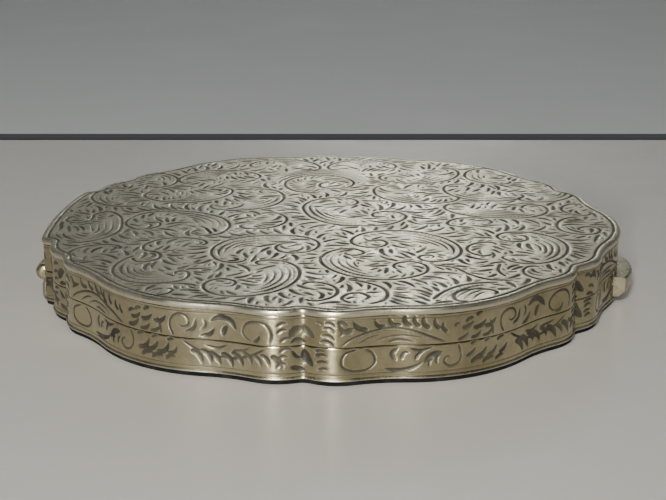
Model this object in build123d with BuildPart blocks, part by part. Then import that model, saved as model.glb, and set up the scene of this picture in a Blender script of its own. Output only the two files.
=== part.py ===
from build123d import *
from math import atan2, cos, degrees, radians, sin
import os

# Scalloped powder compact, closed. Origin at the centre of the rest face, +Z up, +X towards the
# push-piece; the lid's hinge runs along Y on the -X side. All sizes are in millimetres.

# Plan of the case
core_radius = 38.5
side_centre = 22.5  # five bowed sides, each a circle standing off the axis
side_radius = 20.0
side_angles = (0, 60, 120, 240, 300)
notch_angle = 30.0  # and every 60 degrees from there
notch_fillet = 0.35
lobe_centre = 34.6  # a small lobe stands on each side of each notch
lobe_radius = 7.0
lobe_spread = 6.2
blend_fillet = 20.0
strip_reach = 41.3  # the sixth side is nearly straight and carries the hinge
strip_radius = 83.0
strip_half = 13.8
strip_corner = 1.6
strip_blend = 0.5
strip_lobe_spread = 4.6  # the lobes beside the strip stand closer to their notches

# Where the plan's corners are looked for: degrees from a notch, and the strip's own zone in X
notch_zone = 1.5
blend_zone = (10, 15)
strip_zone_x = -36.0
plan_tolerance = 0.01

# Walls and heights
total_height = 9.9
seam_height = 5.05
seam_gap = 0.1
plate_thick = 0.9
wall_inset = 0.2
wall_thick = 0.9
wall_inner = wall_inset + wall_thick
bottom_inset = 0.35
bottom_fillet = 0.6
top_fillet = 0.4
lid_floor = total_height - plate_thick
base_rim = seam_height - seam_gap / 2
lid_rim = seam_height + seam_gap / 2

# Lid hinge: five knuckles on one pin
hinge_x = -40.45
hinge_z = 4.4
barrel_radius = 1.3
barrel_half = 11.4
knuckle_gap = 0.12
knuckle_length = (2 * barrel_half - 4 * knuckle_gap) / 5
knuckle_starts = [-barrel_half + i * (knuckle_length + knuckle_gap) for i in range(5)]
pin_radius = 0.6
pin_clearance = 0.04
pin_head = 0.8
pin_head_radius = barrel_radius - 0.1
pin_head_fillet = 0.7
relief_radius = barrel_radius + 0.12
relief_half = 12.35
leaf_outer = -39.15
leaf_inner = -38.65
leaf_gap = 0.08
leaf_bite = 0.2  # how far each knuckle's foot runs into its leaf
leaf_height = 1.35
web_height = 0.8
strap_proud = 0.4
strap_low = 0.3
strap_high = 2.8
strap_fillet = 0.5

# Lip ring, deck and powder pan
lip_gap = 0.15
lip_thick = 0.7
lip_top = 6.3
lip_low = 2.5
shelf_radius = 37.6
shelf_cut_x = 36.6
deck_top = 4.9
deck_thick = 0.6
deck_low = deck_top - deck_thick
fit_gap = 0.05
hinge_zone_x = -38.3
hinge_zone_half = 14.8
pan_radius = 30.9
pan_thick = 0.5
pan_low = 1.0
pan_flange = 1.3
pan_fillet = 0.3
flange_top = 5.2
cake_top = 2.2
cake_chamfer = 0.35
gauze_low = 2.25
gauze_thick = 0.1
sifter_outer = 30.2
sifter_inner = 28.8
sifter_top = 2.85
sifter_chamfer = 0.12
puff_radius = 28.3
puff_low = 2.5
puff_top = 4.6
puff_fillet = 0.9
ribbon_width = 10.0
ribbon_length = 40.0
ribbon_thick = 0.25

# Powder door and its own small hinge
door_radius = 32.0
door_low = 5.25
door_top = 5.75
door_chamfer = 0.2
door_ring = 28.5
door_ring_width = 0.6
door_ring_height = 0.15
door_x = -33.7
door_z = 5.6
door_barrel = 0.65
door_pin_radius = 0.28
door_bore = door_pin_radius + 0.03
door_pin_proud = 0.1
door_knuckle = (2.2, 4.4)
deck_knuckle = (4.5, 7.0)
door_foot = 1.2
door_leaf_x = -32.9
door_leaf_length = 2.9
door_leaf_thick = 0.3
deck_leaf_back = 2.6
deck_leaf_length = 3.2
deck_leaf_thick = 0.25
tab_radius = 4.0
tab_inset = 1.2
tab_height = 0.35
tab_fillet = 0.12

# Door spring: a coil on the pin with one leg on the deck and one under the door's leaf
coil_half = 1.9
coil_outer = door_barrel - 0.05
coil_inner = door_bore + 0.03
leg_y = 1.7
leg_width = 0.3
leg_thick = 0.25
leg_step = 0.3
leg_low = deck_top + 0.02
leg_rise = 0.6
deck_leg_length = 2.2
door_leg_start = 0.4
door_leg_length = 1.1
door_leg_drop = 0.15

# Push-piece and catch
push_half = 6.0
push_low = 1.0
push_high = 3.9
push_reach = 44.5
push_end = 43.05
push_gap = 0.1
push_chamfer = 0.8
push_fillet = 0.35
flange_out = 39.9
flange_in = 38.9
flange_half = 7.2
flange_room = 1.2
hook_half = 2.0
hook_out = 39.6
hook_thick = 0.6
hook_top = 6.15
hook_room = 0.6
hook_slot_x = 38.95
hook_slot_length = 1.8
hook_slot_room = 0.4
nose_reach = 40.55
nose_low = 5.75
nose_thick = 0.15
striker_in = 40.65
striker_half = 1.8
striker_low = 5.2
striker_top = 5.65
bracket_back = 33.8
bracket_thick = 0.6
bracket_front = 38.3
bracket_half = 7.5
bracket_top = 3.2
spring_half = 6.3
spring_thick = 0.3
spring_low = 1.4
spring_width = 1.6
spring_rest = 0.02

# Mirror
mirror_radius = 36.0
mirror_thick = 1.0
mirror_chamfer = 0.3
backing_thick = 0.4
bezel_radius = 37.2
bezel_bore = 35.2
bezel_lip = 0.25
bezel_fillet = 0.2
tab_count = 6
tab_start = 30
tab_width = 3.0
tab_thick = 0.4
tab_foot = 1.3
tab_foot_thick = 0.3
mirror_top = lid_floor - backing_thick
mirror_low = mirror_top - mirror_thick
bezel_low = mirror_low - bezel_lip

over = 20.0  # longer than any gap or bore that it cuts

os.makedirs("parts", exist_ok=True)


def polar(radius, angle):
    """Point at a radius and an angle in degrees."""
    return (radius * cos(radians(angle)), radius * sin(radians(angle)))


# Two lobes to each bowed side, and one on each side of the strip.
lobe_angles = [180 - notch_angle + strip_lobe_spread, 180 + notch_angle - strip_lobe_spread]
for bow_angle in side_angles:
    lobe_angles += [bow_angle - notch_angle + lobe_spread, bow_angle + notch_angle - lobe_spread]


def off_notch(vertex):
    """Angle in degrees between a plan vertex and the nearest notch."""
    return abs(degrees(atan2(vertex.Y, vertex.X)) % 60 - notch_angle)


def case_plan(inset=0.0):
    """Plan of the case, drawn in from its outer edge: the bows shrink and the hollows grow."""
    with BuildSketch() as strip:
        with Locations((-strip_reach, 0)):
            Rectangle(strip_reach, 2 * (strip_half - inset))
        with Locations((strip_radius - strip_reach, 0)):
            Circle(strip_radius - inset, mode=Mode.INTERSECT)
        fillet(strip.vertices().group_by(Axis.X)[0], strip_corner - inset)
    with BuildSketch() as plan:
        Circle(core_radius - inset)
        with Locations(*[polar(side_centre, angle) for angle in side_angles]):
            Circle(side_radius - inset)
        with Locations(*[polar(lobe_centre, angle) for angle in lobe_angles]):
            Circle(lobe_radius - inset)
        add(strip.sketch)
        fillet(plan.vertices().filter_by(lambda v: off_notch(v) < notch_zone), notch_fillet + inset)
        strip_edge = strip_half - inset - plan_tolerance
        steps = plan.vertices().filter_by(lambda v: v.X < strip_zone_x and abs(v.Y) > strip_edge)
        fillet(steps.group_by(SortBy.DISTANCE)[0], strip_blend + inset)
        blends = plan.vertices().filter_by(lambda v: v.X > strip_zone_x)
        blends = blends.filter_by(lambda v: blend_zone[0] < off_notch(v) < blend_zone[1])
        fillet(blends, blend_fillet + inset)
    return plan.sketch


def deeper_plan(plan, inset):
    """A plan drawn further in."""
    with BuildSketch() as deeper:
        add(plan)
        offset(amount=-inset, kind=Kind.ARC)
    return deeper.sketch


wall_outer_plan = case_plan(wall_inset)
wall_inner_plan = case_plan(wall_inner)
lip_outer_plan = case_plan(wall_inner + lip_gap)
lip_inner_plan = deeper_plan(lip_outer_plan, lip_thick)
deck_plan = deeper_plan(lip_outer_plan, lip_thick + fit_gap)


# Base: bottom plate, wall, lip ring
with BuildPart() as base_bottom_plate:
    add(case_plan(bottom_inset))
    extrude(amount=plate_thick)
    fillet(base_bottom_plate.faces().sort_by(Axis.Z)[0].edges(), bottom_fillet)
base_bottom_plate.part.label = "base_bottom_plate"
export_step(base_bottom_plate.part, "parts/base_bottom_plate.step")

with BuildPart() as hinge_relief:
    with BuildSketch(Plane.XZ.offset(-relief_half)):
        with Locations((hinge_x, hinge_z)):
            Circle(relief_radius)
    extrude(amount=2 * relief_half)

with BuildPart() as base_side_band:
    with BuildSketch(Plane.XY.offset(plate_thick)):
        add(wall_outer_plan)
        add(wall_inner_plan, mode=Mode.SUBTRACT)
    extrude(amount=base_rim - plate_thick)
    add(hinge_relief.part, mode=Mode.SUBTRACT)
    # Opening that the push-piece slides through.
    with Locations((push_end, 0, push_low - push_gap)):
        opening_half = push_half + push_gap
        Box(over, 2 * opening_half, push_high - push_low + 2 * push_gap,
            align=(Align.CENTER, Align.CENTER, Align.MIN), mode=Mode.SUBTRACT)
base_side_band.part.label = "base_side_band"
export_step(base_side_band.part, "parts/base_side_band.step")

with BuildPart() as base_lip_ring:
    with BuildSketch(Plane.XY.offset(lip_low)):
        add(wall_inner_plan)
        Circle(shelf_radius, mode=Mode.SUBTRACT)
    extrude(amount=deck_low - lip_low)
    with BuildSketch(Plane.XY.offset(deck_low)):
        add(wall_inner_plan)
        add(lip_inner_plan, mode=Mode.SUBTRACT)
    extrude(amount=base_rim - deck_low)
    with BuildSketch(Plane.XY.offset(base_rim)):
        add(lip_outer_plan)
        add(lip_inner_plan, mode=Mode.SUBTRACT)
    extrude(amount=lip_top - base_rim)
    # Gaps for the lid hinge, the push-piece and the catch's hook.
    with Locations((hinge_zone_x, 0, 0)):
        Box(over, 2 * hinge_zone_half, over, align=(Align.MAX, Align.CENTER, Align.MIN),
            mode=Mode.SUBTRACT)
    with Locations((shelf_cut_x, 0, 0)):
        Box(over, 2 * (flange_half + flange_room), deck_low,
            align=(Align.MIN, Align.CENTER, Align.MIN), mode=Mode.SUBTRACT)
    with Locations((hook_out, 0, base_rim)):
        Box(over, 2 * (hook_half + hook_room), over, align=(Align.MIN, Align.CENTER, Align.MIN),
            mode=Mode.SUBTRACT)
base_lip_ring.part.label = "base_lip_ring"
export_step(base_lip_ring.part, "parts/base_lip_ring.step")

# Deck, pan and what the pan holds
with BuildPart() as base_deck:
    with BuildSketch(Plane.XY.offset(deck_low)):
        add(deck_plan)
        Circle(pan_radius + fit_gap, mode=Mode.SUBTRACT)
        with Locations((hinge_zone_x, 0)):
            Rectangle(over, 2 * hinge_zone_half, align=(Align.MAX, Align.CENTER),
                      mode=Mode.SUBTRACT)
        # Slot for the hook, as long as its travel.
        with Locations((hook_slot_x, 0)):
            Rectangle(hook_slot_length, 2 * (hook_half + hook_slot_room), mode=Mode.SUBTRACT)
    extrude(amount=deck_thick)
base_deck.part.label = "base_deck"
export_step(base_deck.part, "parts/base_deck.step")

with BuildPart() as powder_pan:
    with BuildSketch(Plane.XY.offset(pan_low)):
        Circle(pan_radius)
    extrude(amount=flange_top - pan_low)
    with BuildSketch(Plane.XY.offset(deck_top)):
        Circle(pan_radius + pan_flange)
    extrude(amount=flange_top - deck_top)
    with BuildSketch(Plane.XY.offset(pan_low + pan_thick)):
        Circle(pan_radius - pan_thick)
    extrude(amount=flange_top, mode=Mode.SUBTRACT)
    rounds = powder_pan.edges().filter_by(GeomType.CIRCLE)
    inner = rounds.filter_by(lambda e: abs(e.radius - pan_radius + pan_thick) < plan_tolerance)
    fillet(inner.group_by(Axis.Z)[0], pan_fillet)
powder_pan.part.label = "powder_pan"
export_step(powder_pan.part, "parts/powder_pan.step")

with BuildPart() as powder_cake:
    with BuildSketch(Plane.XY.offset(pan_low + pan_thick)):
        Circle(pan_radius - pan_thick - fit_gap)
    extrude(amount=cake_top - pan_low - pan_thick)
    chamfer(powder_cake.edges().group_by(Axis.Z)[0], cake_chamfer)
powder_cake.part.label = "powder_cake"
export_step(powder_cake.part, "parts/powder_cake.step")

with BuildPart() as sifter_gauze:
    with BuildSketch(Plane.XY.offset(gauze_low)):
        Circle(sifter_outer)
    extrude(amount=gauze_thick)
sifter_gauze.part.label = "sifter_gauze"
export_step(sifter_gauze.part, "parts/sifter_gauze.step")

with BuildPart() as sifter_ring:
    with BuildSketch(Plane.XY.offset(gauze_low + gauze_thick)):
        Circle(sifter_outer)
        Circle(sifter_inner, mode=Mode.SUBTRACT)
    extrude(amount=sifter_top - gauze_low - gauze_thick)
    chamfer(sifter_ring.faces().sort_by(Axis.Z)[-1].edges(), sifter_chamfer)
sifter_ring.part.label = "sifter_ring"
export_step(sifter_ring.part, "parts/sifter_ring.step")

with BuildPart() as puff:
    with BuildSketch(Plane.XY.offset(puff_low)):
        Circle(puff_radius)
    extrude(amount=puff_top - puff_low)
    fillet(puff.edges(), puff_fillet)
puff.part.label = "puff"
export_step(puff.part, "parts/puff.step")

with BuildPart() as puff_ribbon:
    with BuildSketch(Plane.XY.offset(puff_top + fit_gap)):
        Rectangle(ribbon_width, ribbon_length)
    extrude(amount=ribbon_thick)
puff_ribbon.part.label = "puff_ribbon"
export_step(puff_ribbon.part, "parts/puff_ribbon.step")

# Powder door on its own hinge
with BuildPart() as powder_door:
    with BuildSketch(Plane.XY.offset(door_low)):
        Circle(door_radius)
    extrude(amount=door_top - door_low)
    chamfer(powder_door.edges().group_by(Axis.Z)[-1], door_chamfer)
    with BuildSketch(Plane.XY.offset(door_top)):
        Circle(door_ring)
        Circle(door_ring - door_ring_width, mode=Mode.SUBTRACT)
    extrude(amount=door_ring_height)
powder_door.part.label = "powder_door"
export_step(powder_door.part, "parts/powder_door.step")

with BuildPart() as door_tab:
    with BuildSketch(Plane.XY.offset(door_top)):
        with Locations((door_radius - tab_inset, 0)):
            Circle(tab_radius)
        Circle(door_ring, mode=Mode.SUBTRACT)
    extrude(amount=tab_height)
    fillet(door_tab.edges().group_by(Axis.Z)[-1], tab_fillet)
door_tab.part.label = "door_tab"
export_step(door_tab.part, "parts/door_tab.step")

with BuildPart() as door_knuckles:
    for side in (-1, 1):
        near, far = sorted((side * door_knuckle[0], side * door_knuckle[1]))
        with BuildSketch(Plane.XZ.offset(-far)):
            with Locations((door_x, door_z)):
                Circle(door_barrel)
        extrude(amount=far - near)
        with Locations((door_x, (near + far) / 2, door_top)):
            Box(door_foot, far - near, door_leaf_thick, align=(Align.MIN, Align.CENTER, Align.MIN))
    # Leaf soldered on the door's top.
    with Locations((door_leaf_x, 0, door_top)):
        Box(door_leaf_length, 2 * door_knuckle[1], door_leaf_thick,
            align=(Align.MIN, Align.CENTER, Align.MIN))
    with BuildSketch(Plane.XZ.offset(-over / 2)):
        with Locations((door_x, door_z)):
            Circle(door_bore)
    extrude(amount=over, mode=Mode.SUBTRACT)
door_knuckles.part.label = "door_knuckles"
export_step(door_knuckles.part, "parts/door_knuckles.step")

with BuildPart() as deck_knuckles:
    for side in (-1, 1):
        near, far = sorted((side * deck_knuckle[0], side * deck_knuckle[1]))
        with BuildSketch(Plane.XZ.offset(-far)):
            with Locations((door_x, door_z)):
                Circle(door_barrel)
        extrude(amount=far - near)
        with Locations((door_x - deck_leaf_back, (near + far) / 2, deck_top)):
            Box(deck_leaf_length, far - near, deck_leaf_thick,
                align=(Align.MIN, Align.CENTER, Align.MIN))
    with BuildSketch(Plane.XZ.offset(-over / 2)):
        with Locations((door_x, door_z)):
            Circle(door_bore)
    extrude(amount=over, mode=Mode.SUBTRACT)
deck_knuckles.part.label = "deck_knuckles"
export_step(deck_knuckles.part, "parts/deck_knuckles.step")

with BuildPart() as door_pin:
    with BuildSketch(Plane.XZ.offset(-deck_knuckle[1] - door_pin_proud)):
        with Locations((door_x, door_z)):
            Circle(door_pin_radius)
    extrude(amount=2 * (deck_knuckle[1] + door_pin_proud))
door_pin.part.label = "door_pin"
export_step(door_pin.part, "parts/door_pin.step")

with BuildPart() as door_spring:
    with BuildSketch(Plane.XZ.offset(-coil_half)):
        with Locations((door_x, door_z)):
            Circle(coil_outer)
            Circle(coil_inner, mode=Mode.SUBTRACT)
    extrude(amount=2 * coil_half)
    with Locations((door_x - leg_step, -leg_y, leg_low)):
        Box(deck_leg_length, leg_width, leg_thick, align=(Align.MAX, Align.CENTER, Align.MIN))
        Box(leg_thick, leg_width, leg_rise, align=(Align.MIN, Align.CENTER, Align.MIN))
    with Locations((door_x + door_leg_start, leg_y, door_z - door_leg_drop)):
        Box(door_leg_length, leg_width, leg_thick, align=(Align.MIN, Align.CENTER, Align.MIN))
door_spring.part.label = "door_spring"
export_step(door_spring.part, "parts/door_spring.step")

# Push-piece, hook, bracket and spring
with BuildPart() as push_piece:
    with BuildSketch(Plane.XY.offset(push_low)):
        with BuildLine():
            Polyline((push_end, push_half), (flange_in, push_half), (flange_in, -push_half),
                     (push_end, -push_half))
            ThreePointArc((push_end, -push_half), (push_reach, 0), (push_end, push_half))
        make_face()
    extrude(amount=push_high - push_low)
    front = push_piece.faces().filter_by(GeomType.CYLINDER).sort_by(Axis.X)[-1]
    chamfer(front.edges().group_by(Axis.Z)[0], push_chamfer)
    front = push_piece.faces().filter_by(GeomType.CYLINDER).sort_by(Axis.X)[-1]
    fillet(front.edges().group_by(Axis.Z)[-1], push_fillet)
    with Locations((flange_in, 0, push_low)):
        Box(flange_out - flange_in, 2 * flange_half, push_high - push_low,
            align=(Align.MIN, Align.CENTER, Align.MIN))
push_piece.part.label = "push_piece"
export_step(push_piece.part, "parts/push_piece.step")

with BuildPart() as catch_hook:
    with BuildSketch(Plane.XZ.offset(-hook_half)):
        with BuildLine():
            Polyline(
                (hook_out - hook_thick, push_high), (hook_out, push_high),
                (hook_out, nose_low), (nose_reach, nose_low), (nose_reach, nose_low + nose_thick),
                (hook_out, hook_top), (hook_out - hook_thick, hook_top), close=True,
            )
        make_face()
    extrude(amount=2 * hook_half)
catch_hook.part.label = "catch_hook"
export_step(catch_hook.part, "parts/catch_hook.step")

with BuildPart() as catch_bracket:
    with BuildSketch(Plane.XY.offset(plate_thick)):
        with Locations((bracket_back, 0)):
            Rectangle(bracket_front - bracket_back, 2 * (bracket_half + bracket_thick),
                      align=(Align.MIN, Align.CENTER))
        with Locations((bracket_back + bracket_thick, 0)):
            Rectangle(over, 2 * bracket_half, align=(Align.MIN, Align.CENTER), mode=Mode.SUBTRACT)
    extrude(amount=bracket_top - plate_thick)
catch_bracket.part.label = "catch_bracket"
export_step(catch_bracket.part, "parts/catch_bracket.step")

with BuildPart() as catch_spring:
    with BuildSketch(Plane.XY.offset(spring_low)):
        spring_end = flange_in - spring_thick / 2 - spring_rest
        spring_mid = bracket_back + bracket_thick + spring_thick / 2 + spring_rest
        with BuildLine() as bow:
            ThreePointArc((spring_end, -spring_half), (spring_mid, 0), (spring_end, spring_half))
        trace(bow.line, line_width=spring_thick)
        with Locations((flange_in, 0)):
            Rectangle(over, over, align=(Align.MIN, Align.CENTER), mode=Mode.SUBTRACT)
    extrude(amount=spring_width)
catch_spring.part.label = "catch_spring"
export_step(catch_spring.part, "parts/catch_spring.step")

# Lid hinge
with BuildPart() as base_knuckles:
    for start in knuckle_starts[0::2]:
        with BuildSketch(Plane.XZ.offset(-start - knuckle_length)):
            with Locations((hinge_x, hinge_z)):
                Circle(barrel_radius)
            with Locations((hinge_x, hinge_z)):
                Rectangle(leaf_inner - hinge_x, web_height, align=(Align.MIN, Align.MAX))
            with Locations((leaf_outer, hinge_z)):
                Rectangle(leaf_inner - leaf_outer, relief_radius + leaf_gap + leaf_bite,
                          align=(Align.MIN, Align.MAX))
        extrude(amount=knuckle_length)
    with BuildSketch(Plane.XY.offset(hinge_z - relief_radius - leaf_gap)):
        add(wall_inner_plan)
        with Locations((leaf_inner, 0)):
            Rectangle(over, 2 * barrel_half, align=(Align.MAX, Align.CENTER),
                      mode=Mode.INTERSECT)
    extrude(amount=-leaf_height)
    with BuildSketch(Plane.XZ.offset(-barrel_half)):
        with Locations((hinge_x, hinge_z)):
            Circle(pin_radius + pin_clearance)
    extrude(amount=2 * barrel_half, mode=Mode.SUBTRACT)
base_knuckles.part.label = "base_knuckles"
export_step(base_knuckles.part, "parts/base_knuckles.step")

with BuildPart() as lid_knuckles:
    for start in knuckle_starts[1::2]:
        with BuildSketch(Plane.XZ.offset(-start - knuckle_length)):
            with Locations((hinge_x, hinge_z)):
                Circle(barrel_radius)
            with Locations((hinge_x, hinge_z)):
                Rectangle(leaf_inner - hinge_x, web_height, align=(Align.MIN, Align.MIN))
            with Locations((leaf_outer, hinge_z)):
                Rectangle(leaf_inner - leaf_outer, relief_radius + leaf_gap + leaf_bite,
                          align=(Align.MIN, Align.MIN))
        extrude(amount=knuckle_length)
    with BuildSketch(Plane.XY.offset(hinge_z + relief_radius + leaf_gap)):
        add(wall_inner_plan)
        with Locations((leaf_inner, 0)):
            Rectangle(over, 2 * barrel_half, align=(Align.MAX, Align.CENTER),
                      mode=Mode.INTERSECT)
    extrude(amount=leaf_height)
    with BuildSketch(Plane.XZ.offset(-barrel_half)):
        with Locations((hinge_x, hinge_z)):
            Circle(pin_radius + pin_clearance)
    extrude(amount=2 * barrel_half, mode=Mode.SUBTRACT)
lid_knuckles.part.label = "lid_knuckles"
export_step(lid_knuckles.part, "parts/lid_knuckles.step")

with BuildPart() as hinge_pin:
    with BuildSketch(Plane.XZ.offset(-barrel_half)):
        with Locations((hinge_x, hinge_z)):
            Circle(pin_radius)
    extrude(amount=2 * barrel_half)
    for end in (-1, 1):
        with BuildSketch(Plane.XZ.offset(-end * barrel_half)):
            with Locations((hinge_x, hinge_z)):
                Circle(pin_head_radius)
        extrude(amount=-end * pin_head)
    heads = hinge_pin.faces().filter_by(Axis.Y).group_by(Axis.Y)
    fillet(heads[0].edges() + heads[-1].edges(), pin_head_fillet)
hinge_pin.part.label = "hinge_pin"
export_step(hinge_pin.part, "parts/hinge_pin.step")

with BuildPart() as hinge_strap:
    with BuildSketch(Plane.XY.offset(strap_low)):
        with Locations((strip_radius - strip_reach, 0)):
            Circle(strip_radius + strap_proud)
        with Locations((-strip_reach, 0)):
            Rectangle(strip_reach, 2 * barrel_half, mode=Mode.INTERSECT)
        add(wall_outer_plan, mode=Mode.SUBTRACT)
    extrude(amount=strap_high - strap_low)
    fillet(hinge_strap.faces().sort_by(Axis.X)[0].edges(), strap_fillet)
hinge_strap.part.label = "hinge_strap"
export_step(hinge_strap.part, "parts/hinge_strap.step")

# Lid: top plate, wall, striker
with BuildPart() as lid_top_plate:
    with BuildSketch(Plane.XY.offset(lid_floor)):
        add(case_plan())
    extrude(amount=plate_thick)
    fillet(lid_top_plate.faces().sort_by(Axis.Z)[-1].edges(), top_fillet)
lid_top_plate.part.label = "lid_top_plate"
export_step(lid_top_plate.part, "parts/lid_top_plate.step")

with BuildPart() as lid_side_band:
    with BuildSketch(Plane.XY.offset(lid_rim)):
        add(wall_outer_plan)
        add(wall_inner_plan, mode=Mode.SUBTRACT)
    extrude(amount=lid_floor - lid_rim)
    add(hinge_relief.part, mode=Mode.SUBTRACT)
lid_side_band.part.label = "lid_side_band"
export_step(lid_side_band.part, "parts/lid_side_band.step")

with BuildPart() as lid_striker:
    with BuildSketch(Plane.XY.offset(striker_low)):
        add(wall_inner_plan)
        with Locations((striker_in, 0)):
            Rectangle(over, 2 * striker_half, align=(Align.MIN, Align.CENTER),
                      mode=Mode.INTERSECT)
    extrude(amount=striker_top - striker_low)
lid_striker.part.label = "lid_striker"
export_step(lid_striker.part, "parts/lid_striker.step")

# Mirror in the lid
with BuildPart() as mirror_backing:
    with BuildSketch(Plane.XY.offset(mirror_top)):
        Circle(mirror_radius)
    extrude(amount=backing_thick)
mirror_backing.part.label = "mirror_backing"
export_step(mirror_backing.part, "parts/mirror_backing.step")

with BuildPart() as mirror_glass:
    with BuildSketch(Plane.XY.offset(mirror_low)):
        Circle(mirror_radius)
    extrude(amount=mirror_thick)
    chamfer(mirror_glass.edges().group_by(Axis.Z)[0], mirror_chamfer)
mirror_glass.part.label = "mirror_glass"
export_step(mirror_glass.part, "parts/mirror_glass.step")

with BuildPart() as mirror_bezel:
    with BuildSketch(Plane.XY.offset(bezel_low)):
        Circle(bezel_radius)
        Circle(bezel_bore, mode=Mode.SUBTRACT)
    extrude(amount=bezel_lip)
    with BuildSketch(Plane.XY.offset(mirror_low)):
        Circle(bezel_radius)
        Circle(mirror_radius + fit_gap, mode=Mode.SUBTRACT)
    extrude(amount=lid_floor - mirror_low)
    fillet(mirror_bezel.edges().group_by(Axis.Z)[0].sort_by(SortBy.RADIUS)[-1], bezel_fillet)
mirror_bezel.part.label = "mirror_bezel"
export_step(mirror_bezel.part, "parts/mirror_bezel.step")

with BuildPart() as mirror_tabs:
    with PolarLocations(bezel_radius, tab_count, start_angle=tab_start):
        with Locations((0, 0, lid_floor)):
            Box(tab_thick, tab_width, lid_floor - bezel_low + tab_foot_thick,
                align=(Align.MIN, Align.CENTER, Align.MAX))
        with Locations((tab_thick, 0, bezel_low)):
            Box(tab_foot, tab_width, tab_foot_thick,
                align=(Align.MAX, Align.CENTER, Align.MAX))
mirror_tabs.part.label = "mirror_tabs"
export_step(mirror_tabs.part, "parts/mirror_tabs.step")
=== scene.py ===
"""Looks of the engraved powder compact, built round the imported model.

Pieces are worked out in millimetres, and MM turns one into the other.
"""
import math

import bpy
import numpy as np
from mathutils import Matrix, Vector


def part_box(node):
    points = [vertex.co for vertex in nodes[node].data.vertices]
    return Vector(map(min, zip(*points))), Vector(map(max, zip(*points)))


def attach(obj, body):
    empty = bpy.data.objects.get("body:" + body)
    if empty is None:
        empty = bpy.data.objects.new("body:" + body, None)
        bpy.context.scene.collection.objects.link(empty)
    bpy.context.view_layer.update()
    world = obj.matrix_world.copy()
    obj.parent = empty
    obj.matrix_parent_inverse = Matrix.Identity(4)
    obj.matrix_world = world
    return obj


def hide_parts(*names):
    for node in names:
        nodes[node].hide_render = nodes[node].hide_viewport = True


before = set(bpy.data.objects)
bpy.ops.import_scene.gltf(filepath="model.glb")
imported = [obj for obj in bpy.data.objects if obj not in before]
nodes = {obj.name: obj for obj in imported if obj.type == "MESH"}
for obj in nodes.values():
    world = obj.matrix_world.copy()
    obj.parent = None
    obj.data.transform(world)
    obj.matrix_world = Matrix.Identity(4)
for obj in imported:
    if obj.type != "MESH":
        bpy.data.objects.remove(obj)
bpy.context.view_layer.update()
scene = bpy.context.scene
MM = 0.001

# ---------------------------------------------------------------- camera
CAMERA_PLACE = Vector((17.95, -213.5, 70.4)) * MM
CAMERA_TURN = (73.06, 0, 4.7)  # degrees
camera = bpy.data.objects.new("camera", bpy.data.cameras.new("camera"))
scene.collection.objects.link(camera)
camera.data.lens = 81.08
camera.data.clip_start = 0.01
camera.location = CAMERA_PLACE
camera.rotation_euler = [math.radians(a) for a in CAMERA_TURN]
scene.camera = camera


# ---------------------------------------------------------------- node helpers
class Tree:
    """A material's node tree, with short calls for the nodes used here."""

    def __init__(self, name):
        self.material = bpy.data.materials.new(name)
        self.material.use_nodes = True
        self.nodes = self.material.node_tree.nodes
        self.links = self.material.node_tree.links
        self.nodes.clear()
        self.out = self.nodes.new("ShaderNodeOutputMaterial")

    def add(self, kind, **settings):
        node = self.nodes.new("ShaderNode" + kind)
        for key, value in settings.items():
            setattr(node, key, value)
        return node

    def put(self, value, socket):
        """Links an output socket, or sets a constant, on an input socket. A tuple is a colour."""
        if isinstance(value, bpy.types.NodeSocket):
            self.links.new(value, socket)
        elif isinstance(value, tuple):
            socket.default_value = (*value, 1.0)
        else:
            socket.default_value = value

    def place(self, stretch=(1, 1, 1)):
        """Object coordinates, stretched."""
        mapping = self.add("Mapping")
        self.put(self.add("TexCoord").outputs["Object"], mapping.inputs["Vector"])
        mapping.inputs["Scale"].default_value = stretch
        return mapping.outputs[0]

    def noise(self, scale, detail=2.0, rough=0.5, stretch=(1, 1, 1)):
        node = self.add("TexNoise")
        self.put(self.place(stretch), node.inputs["Vector"])
        node.inputs["Scale"].default_value = scale
        node.inputs["Detail"].default_value = detail
        node.inputs["Roughness"].default_value = rough
        return node.outputs[0]

    def waves(self, scale, **kind):
        node = self.add("TexWave", **kind)
        self.put(self.place(), node.inputs["Vector"])
        node.inputs["Scale"].default_value = scale
        return node.outputs["Fac"]

    def math(self, operation, a, b, clamp=False):
        node = self.add("Math", operation=operation, use_clamp=clamp)
        self.put(a, node.inputs[0])
        self.put(b, node.inputs[1])
        return node.outputs[0]

    def span(self, value, low, high, to_low=0.0, to_high=1.0):
        node = self.add("MapRange")
        self.put(value, node.inputs["Value"])
        for key, number in (("From Min", low), ("From Max", high), ("To Min", to_low), ("To Max", to_high)):
            node.inputs[key].default_value = number
        return node.outputs[0]

    def mix(self, factor, a, b):
        node = self.add("Mix", data_type="RGBA")
        for index, value in ((0, factor), (6, a), (7, b)):
            self.put(value, node.inputs[index])
        return node.outputs[2]

    def attribute(self, name):
        return self.add("Attribute", attribute_name=name).outputs["Fac"]

    def bump(self, height, distance, strength=1.0, normal=None):
        node = self.add("Bump")
        self.put(height, node.inputs["Height"])
        node.inputs["Distance"].default_value = distance
        node.inputs["Strength"].default_value = strength
        if normal is not None:
            self.put(normal, node.inputs["Normal"])
        return node.outputs[0]

    def principled(self, **sockets):
        node = self.add("BsdfPrincipled")
        for key, value in sockets.items():
            self.put(value, node.inputs[key.replace("_", " ")])
        self.links.new(node.outputs[0], self.out.inputs[0])
        return self.material


def scratched(tree, strength):
    """Bump of fine handling scratches, crossing in two directions, over a faint hammered unevenness."""
    along = tree.noise(900, 3, 0.6, (0.12, 1.6, 1.0))
    across = tree.noise(800, 3, 0.6, (1.5, 0.14, 1.0))
    fine = tree.span(tree.math("MAXIMUM", along, across), 0.55, 0.8)
    scratches = tree.bump(fine, 0.006 * MM, strength)
    return tree.bump(tree.noise(140, 2), 0.02 * MM, 0.5, scratches)


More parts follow.
